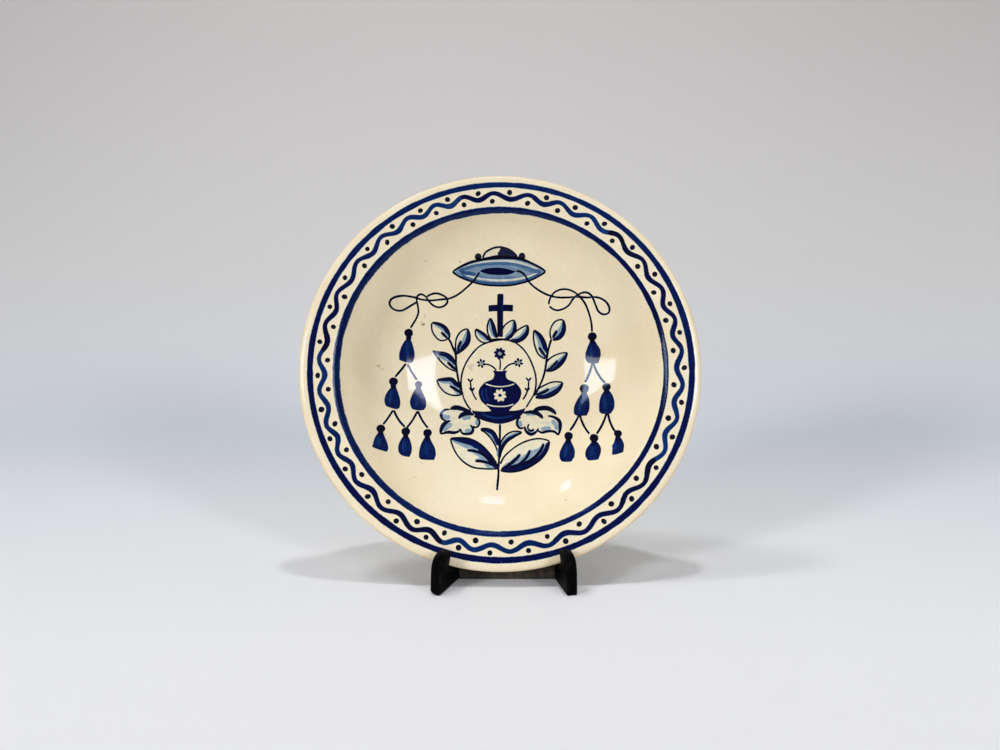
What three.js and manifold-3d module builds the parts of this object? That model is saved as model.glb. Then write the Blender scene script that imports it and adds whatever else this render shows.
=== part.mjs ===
// A deep earthenware dish standing in a small dark wooden plate stand.
// Millimetres, +Z up. The dish faces -Y and leans back towards +Y.
import * as THREE from 'three';
import { mergeVertices } from 'three/addons/utils/BufferGeometryUtils.js';
import Module from 'manifold-3d';

const wasm = await Module();
wasm.setup();

// Dish, measured from the plane of its foot
const DISH_RADIUS = 125;
const DISH_HEIGHT = 46;
const LIP_THICKNESS = 5.4; // the round bead at the edge
const FLANGE_WIDTH = 23.5; // from the edge to the shoulder of the well
const FLANGE_RISE = 3.2;
const WALL_THICKNESS = 5.6; // flange and well wall
const FLOOR_RADIUS = 46; // the gently dished middle
const FLOOR_THICKNESS = 5;
const FLOOR_DIP = 1.4;
const FOOT_RADIUS = 55;
const FOOT_WIDTH = 5.5;
const FOOT_DEPTH = 4; // how far the foot stands proud of the underside
const DISH_SEGMENTS = 84;

// How the dish stands
const LEAN_DEGREES = 18;
const RIM_ABOVE_TABLE = 9;
const SEAT_GAP = 0.4; // under the rim, before it and behind the foot

// Stand
const BOARD_THICKNESS = 6.5;
const LEFT_SPREAD = 34.5; // from the middle to the inner face, at the front
const RIGHT_SPREAD = 38.4;
const REAR_SPREAD = 4; // between the inner faces at the rear
const REAR_OFFSET = 12; // the rear meets a little right of the middle
const LIP_DEPTH = 12.5; // front of the board to the rim, at the rim's lowest point
const LIP_TOP = 26.5;
const SLOT_SLACK = 2.2; // spare room for the rim along the slot
const SLOT_RISE = 7; // rear wall of the slot above its floor
const UPRIGHT_HEIGHT = 118;
const UPRIGHT_TOP_DEPTH = 14;
const BODY_CLEARANCE = 3; // between the board's curved top and the dish
const EDGE_ROUND = 0.7;

const RAIL_SETBACK = 10.5; // from the rim's lowest point to the rail's front
const RAIL_HEIGHT = 12;
const RAIL_DEPTH = 7;
const RAIL_LIFT = 0.4; // the rail doesn't quite touch the table
const BLOCK_DEPTH = 24;
const BLOCK_HEIGHT = 62;
const DOWEL_RADIUS = 2.4;
const DOWEL_REACH = 12; // into the end of the rail
const LOWER_DOWEL_HEIGHT = 14;
const UPPER_DOWEL_HEIGHT = 46;
const DOWEL_SEGMENTS = 20;
const JOINT_GAP = 0.3; // glue line where pieces of the stand meet

const lean = THREE.MathUtils.degToRad(LEAN_DEGREES);
const upDish = new THREE.Vector3(0, Math.sin(lean), Math.cos(lean));
const outOfDish = new THREE.Vector3(0, -Math.cos(lean), Math.sin(lean));

// The rim's lowest point lies LIP_DEPTH behind the front of the boards.
const dishCentre = new THREE.Vector3(0, LIP_DEPTH, RIM_ABOVE_TABLE)
  .addScaledVector(upDish, DISH_RADIUS);

// World point on the dish's middle plane: `up` along the dish, `out` in front of its edge
function onDish(up, out) {
  return dishCentre.clone().addScaledVector(upDish, up).addScaledVector(outOfDish, out);
}

function solidFrom(geometry, matrix = new THREE.Matrix4()) {
  const bare = geometry.clone().applyMatrix4(matrix);
  bare.deleteAttribute('normal');
  bare.deleteAttribute('uv');
  const merged = mergeVertices(bare, 1e-5);
  return new wasm.Manifold(new wasm.Mesh({
    numProp: 3,
    vertProperties: Float32Array.from(merged.attributes.position.array),
    triVerts: Uint32Array.from(merged.index.array),
  }));
}

function geometryFrom(solid) {
  const mesh = solid.getMesh();
  const geometry = new THREE.BufferGeometry();
  geometry.setAttribute('position', new THREE.BufferAttribute(mesh.vertProperties, 3));
  geometry.setIndex(new THREE.BufferAttribute(mesh.triVerts, 1));
  geometry.computeVertexNormals();
  return geometry;
}

function named(name, geometry, material) {
  const mesh = new THREE.Mesh(geometry, material);
  mesh.name = name;
  return mesh;
}

const glaze = () => new THREE.MeshStandardMaterial({ color: 0xe9dec8, roughness: 0.2, metalness: 0 });
const darkWood = () => new THREE.MeshStandardMaterial({ color: 0x1d1815, roughness: 0.55, metalness: 0 });
const brownWood = () => new THREE.MeshStandardMaterial({ color: 0x3b322c, roughness: 0.65, metalness: 0 });

// Dish

function dishProfile() {
  const shoulder = DISH_RADIUS - FLANGE_WIDTH;
  const edge = DISH_RADIUS - LIP_THICKNESS / 2;
  const slope = FLANGE_RISE / FLANGE_WIDTH;
  const shoulderHeight = DISH_HEIGHT - FLANGE_RISE;
  const floorTop = FOOT_DEPTH + FLOOR_THICKNESS;
  const rootHeight = FOOT_DEPTH + 0.6;
  const wallSpan = shoulder - FLOOR_RADIUS;
  const back = shoulder + WALL_THICKNESS * 0.75;
  const backHeight = shoulderHeight - WALL_THICKNESS;
  const path = new THREE.Path();

  // underside and foot
  path.moveTo(0, FOOT_DEPTH);
  path.lineTo(FOOT_RADIUS - FOOT_WIDTH - 1, FOOT_DEPTH);
  path.lineTo(FOOT_RADIUS - FOOT_WIDTH, 0);
  path.lineTo(FOOT_RADIUS, 0);
  path.lineTo(FOOT_RADIUS + 0.8, rootHeight);
  // outside of the well, then the underside of the flange
  path.bezierCurveTo(
    FOOT_RADIUS + wallSpan * 0.42, rootHeight + 2,
    back - 4, rootHeight + (backHeight - rootHeight) * 0.42,
    back, backHeight,
  );
  path.quadraticCurveTo(
    back + 1.2, backHeight + 2.4,
    back + 5, backHeight + 2.4 + 4 * slope,
  );
  path.lineTo(edge, DISH_HEIGHT - LIP_THICKNESS);
  // rounded edge, then the face of the flange
  path.absarc(edge, DISH_HEIGHT - LIP_THICKNESS / 2, LIP_THICKNESS / 2, -Math.PI / 2, Math.PI / 2, false);
  path.lineTo(shoulder + 3, shoulderHeight + 3 * slope);
  path.quadraticCurveTo(shoulder, shoulderHeight, shoulder - 1.6, shoulderHeight - 3.2);
  // inside of the well, down to its dished middle
  path.bezierCurveTo(
    shoulder - 8, floorTop + FLOOR_DIP + (shoulderHeight - floorTop) * 0.42,
    FLOOR_RADIUS + wallSpan * 0.5, floorTop + FLOOR_DIP + 3.2,
    FLOOR_RADIUS, floorTop + FLOOR_DIP,
  );
  path.quadraticCurveTo(FLOOR_RADIUS * 0.5, floorTop, 0, floorTop);
  return path.getPoints(5);
}

function makeDish() {
  const geometry = new THREE.LatheGeometry(dishProfile(), DISH_SEGMENTS);
  geometry.rotateX(Math.PI / 2);
  const dish = named('plate', geometry, glaze());
  dish.rotation.x = Math.PI / 2 - lean;
  dish.position.copy(onDish(0, -DISH_HEIGHT));
  return dish;
}

// Stand

const foot = onDish(0, -DISH_HEIGHT);
const uprightFront = (z) => foot.y + (z - foot.z) * Math.tan(lean) + SEAT_GAP / Math.cos(lean);
const rimFront = (z) => LIP_DEPTH + (z - RIM_ABOVE_TABLE) * Math.tan(lean);
const standDepth = uprightFront(UPRIGHT_HEIGHT) + UPRIGHT_TOP_DEPTH;

// side is -1 for the left board and 1 for the right one
function boardPlace(side) {
  const spread = side < 0 ? LEFT_SPREAD : RIGHT_SPREAD;
  const run = spread - side * REAR_OFFSET - REAR_SPREAD / 2;
  const toe = Math.atan2(run, standDepth);
  const matrix = new THREE.Matrix4().makeRotationZ(side * toe);
  matrix.setPosition(side * spread, 0, 0);
  return { side, spread, toe, matrix, run };
}

// Distance of the board's inner face from the middle, y behind the front
function innerFace(place, y) {
  return place.spread - (place.run * y) / standDepth;
}

function boardOutline(place) {
  const cos = Math.cos(place.toe);
  const skew = BOARD_THICKNESS * Math.sin(place.toe);
  const along = (y) => y / cos;

  // The slot's floor follows the rim where it crosses the inner face.
  const reach = innerFace(place, LIP_DEPTH + LIP_THICKNESS * 2);
  const seat = -Math.sqrt(DISH_RADIUS ** 2 - reach ** 2) - SEAT_GAP;
  const seatPoint = (out) => onDish(seat, out);
  const slotFront = seatPoint(0).add(new THREE.Vector3(0, -(SEAT_GAP + skew), 0));
  const slotRear = seatPoint(-LIP_THICKNESS).add(new THREE.Vector3(0, SLOT_SLACK, 0));
  const rearTop = slotRear.clone().addScaledVector(upDish, SLOT_RISE);

  // The curved top keeps below the outside of the well.
  const well = onDish(-(DISH_RADIUS - FLANGE_WIDTH * 0.8), -(FLANGE_RISE + WALL_THICKNESS * 2.2 + BODY_CLEARANCE));
  const root = onDish(-(FOOT_RADIUS + 3), -(DISH_HEIGHT + SEAT_GAP));
  const lipRearTop = rimFront(LIP_TOP) - SEAT_GAP - skew;
  const top = uprightFront(UPRIGHT_HEIGHT);

  const shape = new THREE.Shape();
  shape.moveTo(0, 0);
  // front of the lip leans back and rolls over its top
  shape.bezierCurveTo(
    along(0.3), LIP_TOP * 0.4,
    along(0.8), LIP_TOP * 0.72,
    along(lipRearTop * 0.28), LIP_TOP * 0.9,
  );
  shape.quadraticCurveTo(along(lipRearTop * 0.42), LIP_TOP, along(lipRearTop * 0.66), LIP_TOP);
  shape.lineTo(along(lipRearTop - 1), LIP_TOP);
  shape.lineTo(along(lipRearTop), LIP_TOP - 1);
  // slot for the rim
  shape.lineTo(along(slotFront.y), slotFront.z);
  shape.lineTo(along(slotRear.y), slotRear.z);
  shape.lineTo(along(rearTop.y), rearTop.z);
  // hollow top, then the upright's front
  shape.bezierCurveTo(
    along(well.y), well.z - 6,
    along(root.y - 6), root.z - 26,
    along(root.y), root.z,
  );
  shape.lineTo(along(top - 3 * Math.tan(lean)), UPRIGHT_HEIGHT - 3);
  shape.quadraticCurveTo(along(top + 1), UPRIGHT_HEIGHT, along(top + 5), UPRIGHT_HEIGHT);
  shape.lineTo(along(standDepth - 5), UPRIGHT_HEIGHT);
  shape.quadraticCurveTo(along(standDepth), UPRIGHT_HEIGHT, along(standDepth), UPRIGHT_HEIGHT - 5);
  shape.lineTo(along(standDepth), 0);
  shape.closePath();
  return shape;
}

// Box on the outer side of the board's outer face (or inner side of its inner face)
function beside(place, offset, outward) {
  const reach = 400;
  const box = new THREE.BoxGeometry(reach, reach * 2, reach * 2);
  const centre = place.side * (offset + (outward ? reach / 2 : -reach / 2));
  return solidFrom(box.translate(centre, 0, 0), place.matrix);
}

function dowelAt(fromX, toX, y, z, radius) {
  const length = toX - fromX;
  const geometry = new THREE.CylinderGeometry(radius, radius, length, DOWEL_SEGMENTS);
  geometry.rotateZ(Math.PI / 2);
  geometry.translate((fromX + toX) / 2, y, z);
  return solidFrom(geometry);
}

const leftPlace = boardPlace(-1);
const rightPlace = boardPlace(1);
const places = [leftPlace, rightPlace];

const railFront = LIP_DEPTH + RAIL_SETBACK;
const railMiddle = railFront + RAIL_DEPTH / 2;
const railCentreZ = RAIL_LIFT + RAIL_HEIGHT / 2;
const blockFront = standDepth - BLOCK_DEPTH;
const blockMiddle = standDepth - BLOCK_DEPTH / 2;
const beyond = Math.max(LEFT_SPREAD, RIGHT_SPREAD) + BOARD_THICKNESS * 2;
const railEnd = (place, y) => place.side * (innerFace(place, y) - JOINT_GAP);

// Every dowel: its name, its span across the stand and its place
const dowels = [
  {
    name: 'front_left_dowel',
    from: -beyond,
    to: railEnd(leftPlace, railMiddle) + DOWEL_REACH,
    y: railMiddle,
    z: railCentreZ,
  },
  {
    name: 'front_right_dowel',
    from: railEnd(rightPlace, railMiddle) - DOWEL_REACH,
    to: beyond,
    y: railMiddle,
    z: railCentreZ,
  },
  { name: 'rear_lower_dowel', from: -beyond, to: beyond, y: blockMiddle, z: LOWER_DOWEL_HEIGHT },
  { name: 'rear_upper_dowel', from: -beyond, to: beyond, y: blockMiddle, z: UPPER_DOWEL_HEIGHT },
];

// Cuts the dowels' holes, each deeper than its dowel by the glue line
function drilled(solid) {
  return dowels.reduce((left, dowel) => left.subtract(
    dowelAt(dowel.from - JOINT_GAP, dowel.to + JOINT_GAP, dowel.y, dowel.z, DOWEL_RADIUS + JOINT_GAP),
  ), solid);
}

function makeBoard(place) {
  const geometry = new THREE.ExtrudeGeometry(boardOutline(place), {
    depth: BOARD_THICKNESS - EDGE_ROUND * 2,
    bevelThickness: EDGE_ROUND,
    bevelSize: EDGE_ROUND,
    bevelOffset: -EDGE_ROUND,
    bevelSegments: 1,
    curveSegments: 7,
  });
  // The outline's two axes become the board's length and height.
  const inner = place.side < 0 ? -BOARD_THICKNESS + EDGE_ROUND : EDGE_ROUND;
  geometry.translate(0, 0, inner);
  geometry.applyMatrix4(new THREE.Matrix4().makeBasis(
    new THREE.Vector3(0, 1, 0),
    new THREE.Vector3(0, 0, 1),
    new THREE.Vector3(1, 0, 0),
  ));
  const board = drilled(solidFrom(geometry, place.matrix));
  return named(place.side < 0 ? 'left_bracket' : 'right_bracket', geometryFrom(board), darkWood());
}

// A bar between the boards, its ends cut to their inner faces
function makeBar(name, front, depth, bottom, height, material) {
  const box = new THREE.BoxGeometry(beyond * 2, depth, height);
  box.translate(0, front + depth / 2, bottom + height / 2);
  const bar = places.reduce(
    (left, place) => left.subtract(beside(place, -JOINT_GAP, true)),
    solidFrom(box),
  );
  return named(name, geometryFrom(drilled(bar)), material);
}

function makeDowel({ name, from, to, y, z }) {
  const dowel = places.reduce(
    (left, place) => left.subtract(beside(place, BOARD_THICKNESS, true)),
    dowelAt(from, to, y, z, DOWEL_RADIUS),
  );
  return named(name, geometryFrom(dowel), brownWood());
}

const part = new THREE.Group();
part.add(makeDish());
places.forEach((place) => part.add(makeBoard(place)));
part.add(makeBar('front_rail', railFront, RAIL_DEPTH, RAIL_LIFT, RAIL_HEIGHT, brownWood()));
part.add(makeBar('rear_block', blockFront, BLOCK_DEPTH - 1, RAIL_LIFT, BLOCK_HEIGHT, darkWood()));
dowels.forEach((dowel) => part.add(makeDowel(dowel)));

// The origin is under the middle of the whole, on the table.
part.updateMatrixWorld(true);
const bounds = new THREE.Box3().setFromObject(part, true);
const middle = bounds.getCenter(new THREE.Vector3());
part.position.set(-middle.x, -middle.y, -bounds.min.z);

export default part;
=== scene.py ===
import bmesh
import bpy
import math
import random
from bisect import bisect_left
from mathutils import Matrix, Vector, noise
from mathutils.geometry import delaunay_2d_cdt


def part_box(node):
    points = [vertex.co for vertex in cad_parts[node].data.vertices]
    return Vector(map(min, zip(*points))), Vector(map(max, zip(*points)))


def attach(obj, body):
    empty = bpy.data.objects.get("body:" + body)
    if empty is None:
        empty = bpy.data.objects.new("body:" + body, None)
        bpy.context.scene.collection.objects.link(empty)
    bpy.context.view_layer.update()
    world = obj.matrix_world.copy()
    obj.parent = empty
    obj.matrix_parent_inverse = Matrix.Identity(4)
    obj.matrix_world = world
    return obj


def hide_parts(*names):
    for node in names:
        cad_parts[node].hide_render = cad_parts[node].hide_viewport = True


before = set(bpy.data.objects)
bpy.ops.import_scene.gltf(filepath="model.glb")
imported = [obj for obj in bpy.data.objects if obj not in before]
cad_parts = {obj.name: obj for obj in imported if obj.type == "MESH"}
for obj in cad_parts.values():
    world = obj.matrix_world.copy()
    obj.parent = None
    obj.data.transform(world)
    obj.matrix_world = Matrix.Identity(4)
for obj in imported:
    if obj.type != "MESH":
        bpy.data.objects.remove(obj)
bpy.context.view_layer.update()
scene = bpy.context.scene
scene.view_settings.view_transform = "Standard"
mm = 0.001
print("frame loaded:", len(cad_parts), "nodes")


# Small helpers for node trees and meshes

def put(tree, kind, inputs=None, **settings):
    made = tree.nodes.new(kind)
    for key, value in settings.items():
        setattr(made, key, value)
    for key, value in (inputs or {}).items():
        if isinstance(value, bpy.types.NodeSocket):
            tree.links.new(value, made.inputs[key])
        else:
            made.inputs[key].default_value = value
    return made


def sums(tree, operation, first, second=0.0, clamp=False):
    return put(tree, "ShaderNodeMath", {0: first, 1: second}, operation=operation, use_clamp=clamp).outputs[0]


def added(tree, first, second, clamp=False):
    return sums(tree, "ADD", first, second, clamp)


def less(tree, first, second):
    return sums(tree, "SUBTRACT", first, second)


def times(tree, first, second, clamp=False):
    return sums(tree, "MULTIPLY", first, second, clamp)


def spread(tree, value, fromLow, fromHigh, toLow=0.0, toHigh=1.0, smooth=False):
    made = put(
        tree, "ShaderNodeMapRange",
        {"Value": value, "From Min": fromLow, "From Max": fromHigh, "To Min": toLow, "To Max": toHigh},
        interpolation_type="SMOOTHSTEP" if smooth else "LINEAR",
    )
    return made.outputs[0]


def speckle(tree, vector, scale, detail=2.0, rough=0.5, warp=0.0):
    made = put(
        tree, "ShaderNodeTexNoise",
        {"Vector": vector, "Scale": scale, "Detail": detail, "Roughness": rough, "Distortion": warp},
    )
    return made.outputs["Fac"]


def blend(tree, share, first, second, mode="MIX"):
    made = put(tree, "ShaderNodeMix", {0: share, 6: first, 7: second}, data_type="RGBA", blend_type=mode)
    return made.outputs[2]


def dimmed(tree, colour, share):
    grey = put(tree, "ShaderNodeCombineColor", {0: share, 1: share, 2: share}).outputs[0]
    return blend(tree, 1.0, colour, grey, "MULTIPLY")


def ramp(tree, value, stops):
    made = put(tree, "ShaderNodeValToRGB", {"Fac": value})
    band = made.color_ramp
    while len(band.elements) < len(stops):
        band.elements.new(0.5)
    for element, (position, colour) in zip(band.elements, stops):
        element.position = position
        element.color = colour
    return made.outputs["Color"]


def linear(red, green, blue):
    # colours are written as a paint program shows them, 0 to 255
    shares = [value / 255 for value in (red, green, blue)]
    return tuple(s / 12.92 if s <= 0.04045 else ((s + 0.055) / 1.055) ** 2.4 for s in shares) + (1.0,)


def newMaterial(name):
    material = bpy.data.materials.new(name)
    material.use_nodes = True
    tree = material.node_tree
    return material, tree, tree.nodes["Principled BSDF"]


def bumpOn(tree, shader, height, distance, strength):
    made = put(tree, "ShaderNodeBump", {"Height": height, "Distance": distance, "Strength": strength})
    tree.links.new(made.outputs["Normal"], shader.inputs["Normal"])


def addObject(name, data):
    made = bpy.data.objects.new(name, data)
    scene.collection.objects.link(made)
    return made


def plainMesh(holder, name):
    # the holder's mesh with its modifiers applied; the holder itself goes
    made = bpy.data.meshes.new_from_object(holder.evaluated_get(bpy.context.evaluated_depsgraph_get()))
    made.name = name
    holder.modifiers.clear()
    bpy.data.objects.remove(holder)
    return made


def addPiece(name, mesh, body, material=None):
    piece = addObject(name, mesh)
    if material:
        mesh.materials.clear()
        mesh.materials.append(material)
    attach(piece, body)
    return piece


# Camera, at the photograph's place: metres for its place, millimetres for lens and film, degrees

cameraSetup = {"lens": 27.04, "film": 36, "place": (0.0, -0.4665, 0.186), "tiltDown": 8.0}
photoSize = (1000, 750)  # the photograph's pixels

cameraData = bpy.data.cameras.new("photoCamera")
cameraData.lens = cameraSetup["lens"]
cameraData.sensor_width = cameraSetup["film"]
camera = addObject("photoCamera", cameraData)
camera.location = cameraSetup["place"]
camera.rotation_euler = (math.radians(90 - cameraSetup["tiltDown"]), 0, 0)
scene.camera = camera
print("camera set")


# Plate: sizes in millimetres, as the solid in the frame has them

plateSize = {
    "radius": 125.0,
    "height": 46.0,
    "lip": 5.4,
    "flangeWidth": 23.5,
    "flangeRise": 3.2,
    "wall": 5.6,
    "floorRadius": 46.0,
    "floorThickness": 5.0,
    "floorDip": 1.4,
    "footRadius": 55.0,
    "footWidth": 5.5,
    "footDepth": 4.0,
    "lean": 18.0,
    "faceEdge": 122.0,  # the painted face ends here, and the turned lip and back begin
    "around": 240,
}


def curveThrough(controls, count):
    # points on the Bezier curve of these control points, without its first point
    points = []
    for i in range(1, count + 1):
        t = i / count
        level = [Vector(c) for c in controls]
        while len(level) > 1:
            level = [a.lerp(b, t) for a, b in zip(level, level[1:])]
        points.append(level[0])
    return points


def plateOutline(size):
    # distance from the axis and height over the foot,
    # from the middle of the face round to the middle of the back
    radius = size["radius"]
    shoulder = radius - size["flangeWidth"]
    shoulderHeight = size["height"] - size["flangeRise"]
    slope = size["flangeRise"] / size["flangeWidth"]
    footDepth = size["footDepth"]
    floorTop = footDepth + size["floorThickness"]
    rim = radius - size["lip"] / 2
    rimHeight = size["height"] - size["lip"] / 2
    wallSpan = shoulder - size["floorRadius"]
    back = shoulder + size["wall"] * 0.75
    backHeight = shoulderHeight - size["wall"]
    root = footDepth + 0.6
    foot = size["footRadius"]
    footInside = foot - size["footWidth"]
    dip = floorTop + size["floorDip"]
    lipStart = Vector((rim - 1.5, shoulderHeight + (rim - 1.5 - shoulder) * slope))

    bends = [
        # floor and wall of the well in one sweep of the thrower's hand, so that no ring shows between them
        ([
            (size["floorRadius"] + 1.3, floorTop),
            (size["floorRadius"] + 10.3, dip - 0.1),
            (shoulder - 11.4, dip + 6.2),
            (shoulder - 1.6, shoulderHeight - 3.2),
        ], 90),
        # flange
        ([(shoulder, shoulderHeight), (shoulder + 1, shoulderHeight + slope)], 10),
        ([lipStart], 14),
        # rounded lip, above and below
        ([lipStart + Vector((2.5, 2.5 * slope)), (radius, rimHeight + 1.85), (radius, rimHeight)], 14),
        ([(radius, rimHeight - 2.0), (rim + 1.6, rimHeight - 2.5), (rim - 1, rimHeight - 2.9)], 10),
        # underside
        ([(back + 5, backHeight + 2.4 + 4 * slope)], 8),
        ([(back + 1.2, backHeight + 2.4), (back, backHeight)], 8),
        ([
            (back - 4, root + (backHeight - root) * 0.42),
            (foot + wallSpan * 0.42, root + 2),
            (foot + 0.8, root),
        ], 30),
        # foot ring with worn corners, and the back inside it
        ([(foot + 0.1, 1.2)], 3),
        ([(foot, 0.05), (foot - 1.2, 0)], 4),
        ([(footInside + 1.2, 0)], 3),
        ([(footInside, 0.05), (footInside - 0.2, 1.2)], 4),
        ([(footInside - 0.9, footDepth), (footInside - 3, footDepth)], 5),
        ([(0, footDepth)], 16),
    ]
    points = [Vector((0, floorTop))]
    for controls, count in bends:
        points += curveThrough([points[-1]] + controls, count)
    return points


outline = plateOutline(plateSize)
faceCount = next(i for i, p in enumerate(outline) if p.x > plateSize["faceEdge"])
faceRadii = [p.x for p in outline[:faceCount + 1]]
faceHeights = [p.y for p in outline[:faceCount + 1]]


def faceHeight(radius):
    i = min(max(bisect_left(faceRadii, radius), 1), len(faceRadii) - 1)
    share = (radius - faceRadii[i - 1]) / (faceRadii[i] - faceRadii[i - 1])
    return faceHeights[i - 1] + (faceHeights[i] - faceHeights[i - 1]) * share


lean = math.radians(plateSize["lean"])
upDish = Vector((0, math.sin(lean), math.cos(lean)))
outOfDish = Vector((0, -math.cos(lean), math.sin(lean)))
plateLow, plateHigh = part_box("plate")
lipRadius = plateSize["lip"] / 2
lipPlace = (plateSize["radius"] - lipRadius, plateSize["height"] - lipRadius)
plateOrigin = Vector((
    (plateLow.x + plateHigh.x) / 2,
    plateLow.y + (lipPlace[0] * math.sin(lean) + lipPlace[1] * math.cos(lean) + lipRadius) * mm,
    plateHigh.z - (lipPlace[0] * math.cos(lean) + lipPlace[1] * math.sin(lean) + lipRadius) * mm,
))
plateTurn = Matrix((Vector((1, 0, 0)), upDish, outOfDish)).transposed()  # dish directions to the row frame


def fromDish(point):
    # millimetres on the dish to metres in the row frame
    return plateOrigin + plateTurn @ (Vector(point) * mm)


# Where a pixel of the photograph falls on the face of the plate

eyeTilt = math.radians(cameraSetup["tiltDown"])
eyeUp = Vector((0, math.sin(eyeTilt), math.cos(eyeTilt)))
eyeAhead = Vector((0, math.cos(eyeTilt), -math.sin(eyeTilt)))
eyeFocal = cameraSetup["lens"] / cameraSetup["film"] * photoSize[0]
eyeOnDish = plateTurn.transposed() @ (Vector(cameraSetup["place"]) - plateOrigin) / mm


def onDish(x, y):
    right = (x - photoSize[0] / 2) / eyeFocal
    up = (photoSize[1] / 2 - y) / eyeFocal
    sight = plateTurn.transposed() @ (Vector((right, 0, 0)) + eyeUp * up + eyeAhead)
    height = plateSize["footDepth"] + plateSize["floorThickness"]
    for _ in range(10):
        spot = eyeOnDish + sight * ((height - eyeOnDish.z) / sight.z)
        height = faceHeight(min(spot.xy.length, plateSize["faceEdge"]))
    return spot.xy


pixel = 0.65  # millimetres on the well's floor that one pixel of the photograph covers


# Brushwork: every mark is laid as small patches on the face, and the last one laid lies on top

brush = {
    "step": 1.1,  # length of a patch, in millimetres
    "wobble": 0.07,  # how much the width wanders
    "press": 1.45,  # widths as read, times this, because a stroke's edges fade out
    "endPatches": (0.06, 0.3, 0.65),  # where a round end is cut, as shares of its length
}
laid = {"points": [], "faces": [], "edges": [], "marks": [], "strokes": 0}


def smoothed(points):
    # a smooth line through given points; a third number on a point is the brush's width there
    points = [Vector(p) for p in points]
    if len(points) == 2:
        return [points[0].lerp(points[1], i / 8) for i in range(9)]
    gaps = [max((b.xy - a.xy).length, 0.01) for a, b in zip(points, points[1:])]
    slopes = [(b - a) / gap for a, b, gap in zip(points, points[1:], gaps)]
    tangents = [slopes[0] * 1.5 - slopes[1] * 0.5]
    for i in range(1, len(points) - 1):
        share = gaps[i - 1] / (gaps[i - 1] + gaps[i])
        tangents.append(slopes[i - 1] * (1 - share) + slopes[i] * share)
    tangents.append(slopes[-1] * 1.5 - slopes[-2] * 0.5)
    line = []
    for i, gap in enumerate(gaps):
        steps = max(3, int(gap / 1.2))
        for j in range(steps):
            t = j / steps
            line.append(
                points[i] * (2 * t ** 3 - 3 * t ** 2 + 1) + points[i + 1] * (3 * t ** 2 - 2 * t ** 3)
                + tangents[i] * gap * (t ** 3 - 2 * t ** 2 + t)
                + tangents[i + 1] * gap * (t ** 3 - t ** 2)
            )
    line.append(points[-1])
    return line


def turnAbout(middle, point):
    return math.atan2(point.y - middle.y, point.x - middle.x)


def layStroke(path, widths, ink=1.0, side=0.0, roundEnds=True):
    # path and widths in millimetres on the dish; ink is one number or a pair, start and end;
    # side 0 lays the width to both sides of the path, 1 all to its left, -1 all to its right
    inks = ink if isinstance(ink, (tuple, list)) else (ink, ink)
    travelled = [0.0]
    for a, b in zip(path, path[1:]):
        travelled.append(travelled[-1] + (b - a).length)
    length = travelled[-1]
    if length < 0.05:
        return
    widest = max(widths)
    step = min(max(widest * 0.7, 0.6), brush["step"])
    count = max(3, int(length / step))
    stops = [length * i / count for i in range(count + 1)]
    if roundEnds:
        cap = min(widest / 2, length * 0.4)
        ends = [cap * share for share in brush["endPatches"]]
        stops = sorted(set(stops + ends + [length - e for e in ends]))
    stroke = laid["strokes"]
    laid["strokes"] += 1
    previous = None
    place = 0
    for stop in stops:
        while place < len(travelled) - 2 and travelled[place + 1] < stop:
            place += 1
        span = max(travelled[place + 1] - travelled[place], 1e-6)
        share = min(max((stop - travelled[place]) / span, 0), 1)
        centre = path[place].lerp(path[place + 1], share)
        before = path[max(place - 1, 0)] if share < 0.5 else path[place]
        after = path[place + 1] if share < 0.5 else path[min(place + 2, len(path) - 1)]
        heading = (after - before).normalized()
        width = widths[place] + (widths[place + 1] - widths[place]) * share
        width *= 1 + brush["wobble"] * noise.noise(Vector((stop * 0.16, stroke * 3.7, 0.5))) * 2
        if roundEnds:
            near = min(stop, length - stop)
            if near < widest / 2:
                width *= math.sqrt(max(1 - (1 - near / (widest / 2)) ** 2, 0.02))
        across = Vector((-heading.y, heading.x))
        left = centre + across * width * (1 + side) / 2
        right = centre - across * width * (1 - side) / 2
        laid["points"] += [left, right]
        here = {
            "left": len(laid["points"]) - 2,
            "right": len(laid["points"]) - 1,
            "centre": (left + right) / 2,
            "half": max(width / 2, 0.02),
            "run": stop,
            "ink": inks[0] + (inks[1] - inks[0]) * stop / length,
        }
        if previous:
            corners = [previous["left"], previous["right"], here["right"], here["left"]]
            middle = sum((laid["points"][c] for c in corners), Vector((0, 0))) / 4
            corners.sort(key=lambda c: turnAbout(middle, laid["points"][c]))
            laid["faces"].append(corners)
            laid["marks"].append({"stroke": stroke, "start": previous, "end": here})
        previous = here


def layWash(edge, ink, margin, pooled=0.0, grain=0.0, brown=0.0):
    # a filled shape: its edge in millimetres, soft over the margin, pooled adds ink along the edge,
    # grain is the direction of its brush streaks in degrees, brown stains it as a flaw of the firing does
    area = sum(a.x * b.y - b.x * a.y for a, b in zip(edge, edge[1:] + edge[:1])) / 2
    if area < 0:
        edge = edge[::-1]
    first = len(laid["points"])
    laid["points"] += edge
    laid["faces"].append(list(range(first, first + len(edge))))
    laid["marks"].append({
        "stroke": laid["strokes"], "edge": edge, "margin": margin, "ink": ink,
        "pooled": pooled, "grain": math.radians(grain), "brown": brown,
    })
    laid["strokes"] += 1
    # a line inside the edge, where the margin ends, so that the triangles follow it
    lastIndex = None
    for i, point in enumerate(edge):
        along = (edge[(i + 1) % len(edge)] - edge[i - 1]).normalized()
        inside = point + Vector((-along.y, along.x)) * margin
        if edgeDistance(edge, inside) <= margin * 0.7:
            lastIndex = None
            continue
        laid["points"].append(inside)
        index = len(laid["points"]) - 1
        if lastIndex is not None:
            laid["edges"].append((lastIndex, index))
        lastIndex = index


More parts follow.
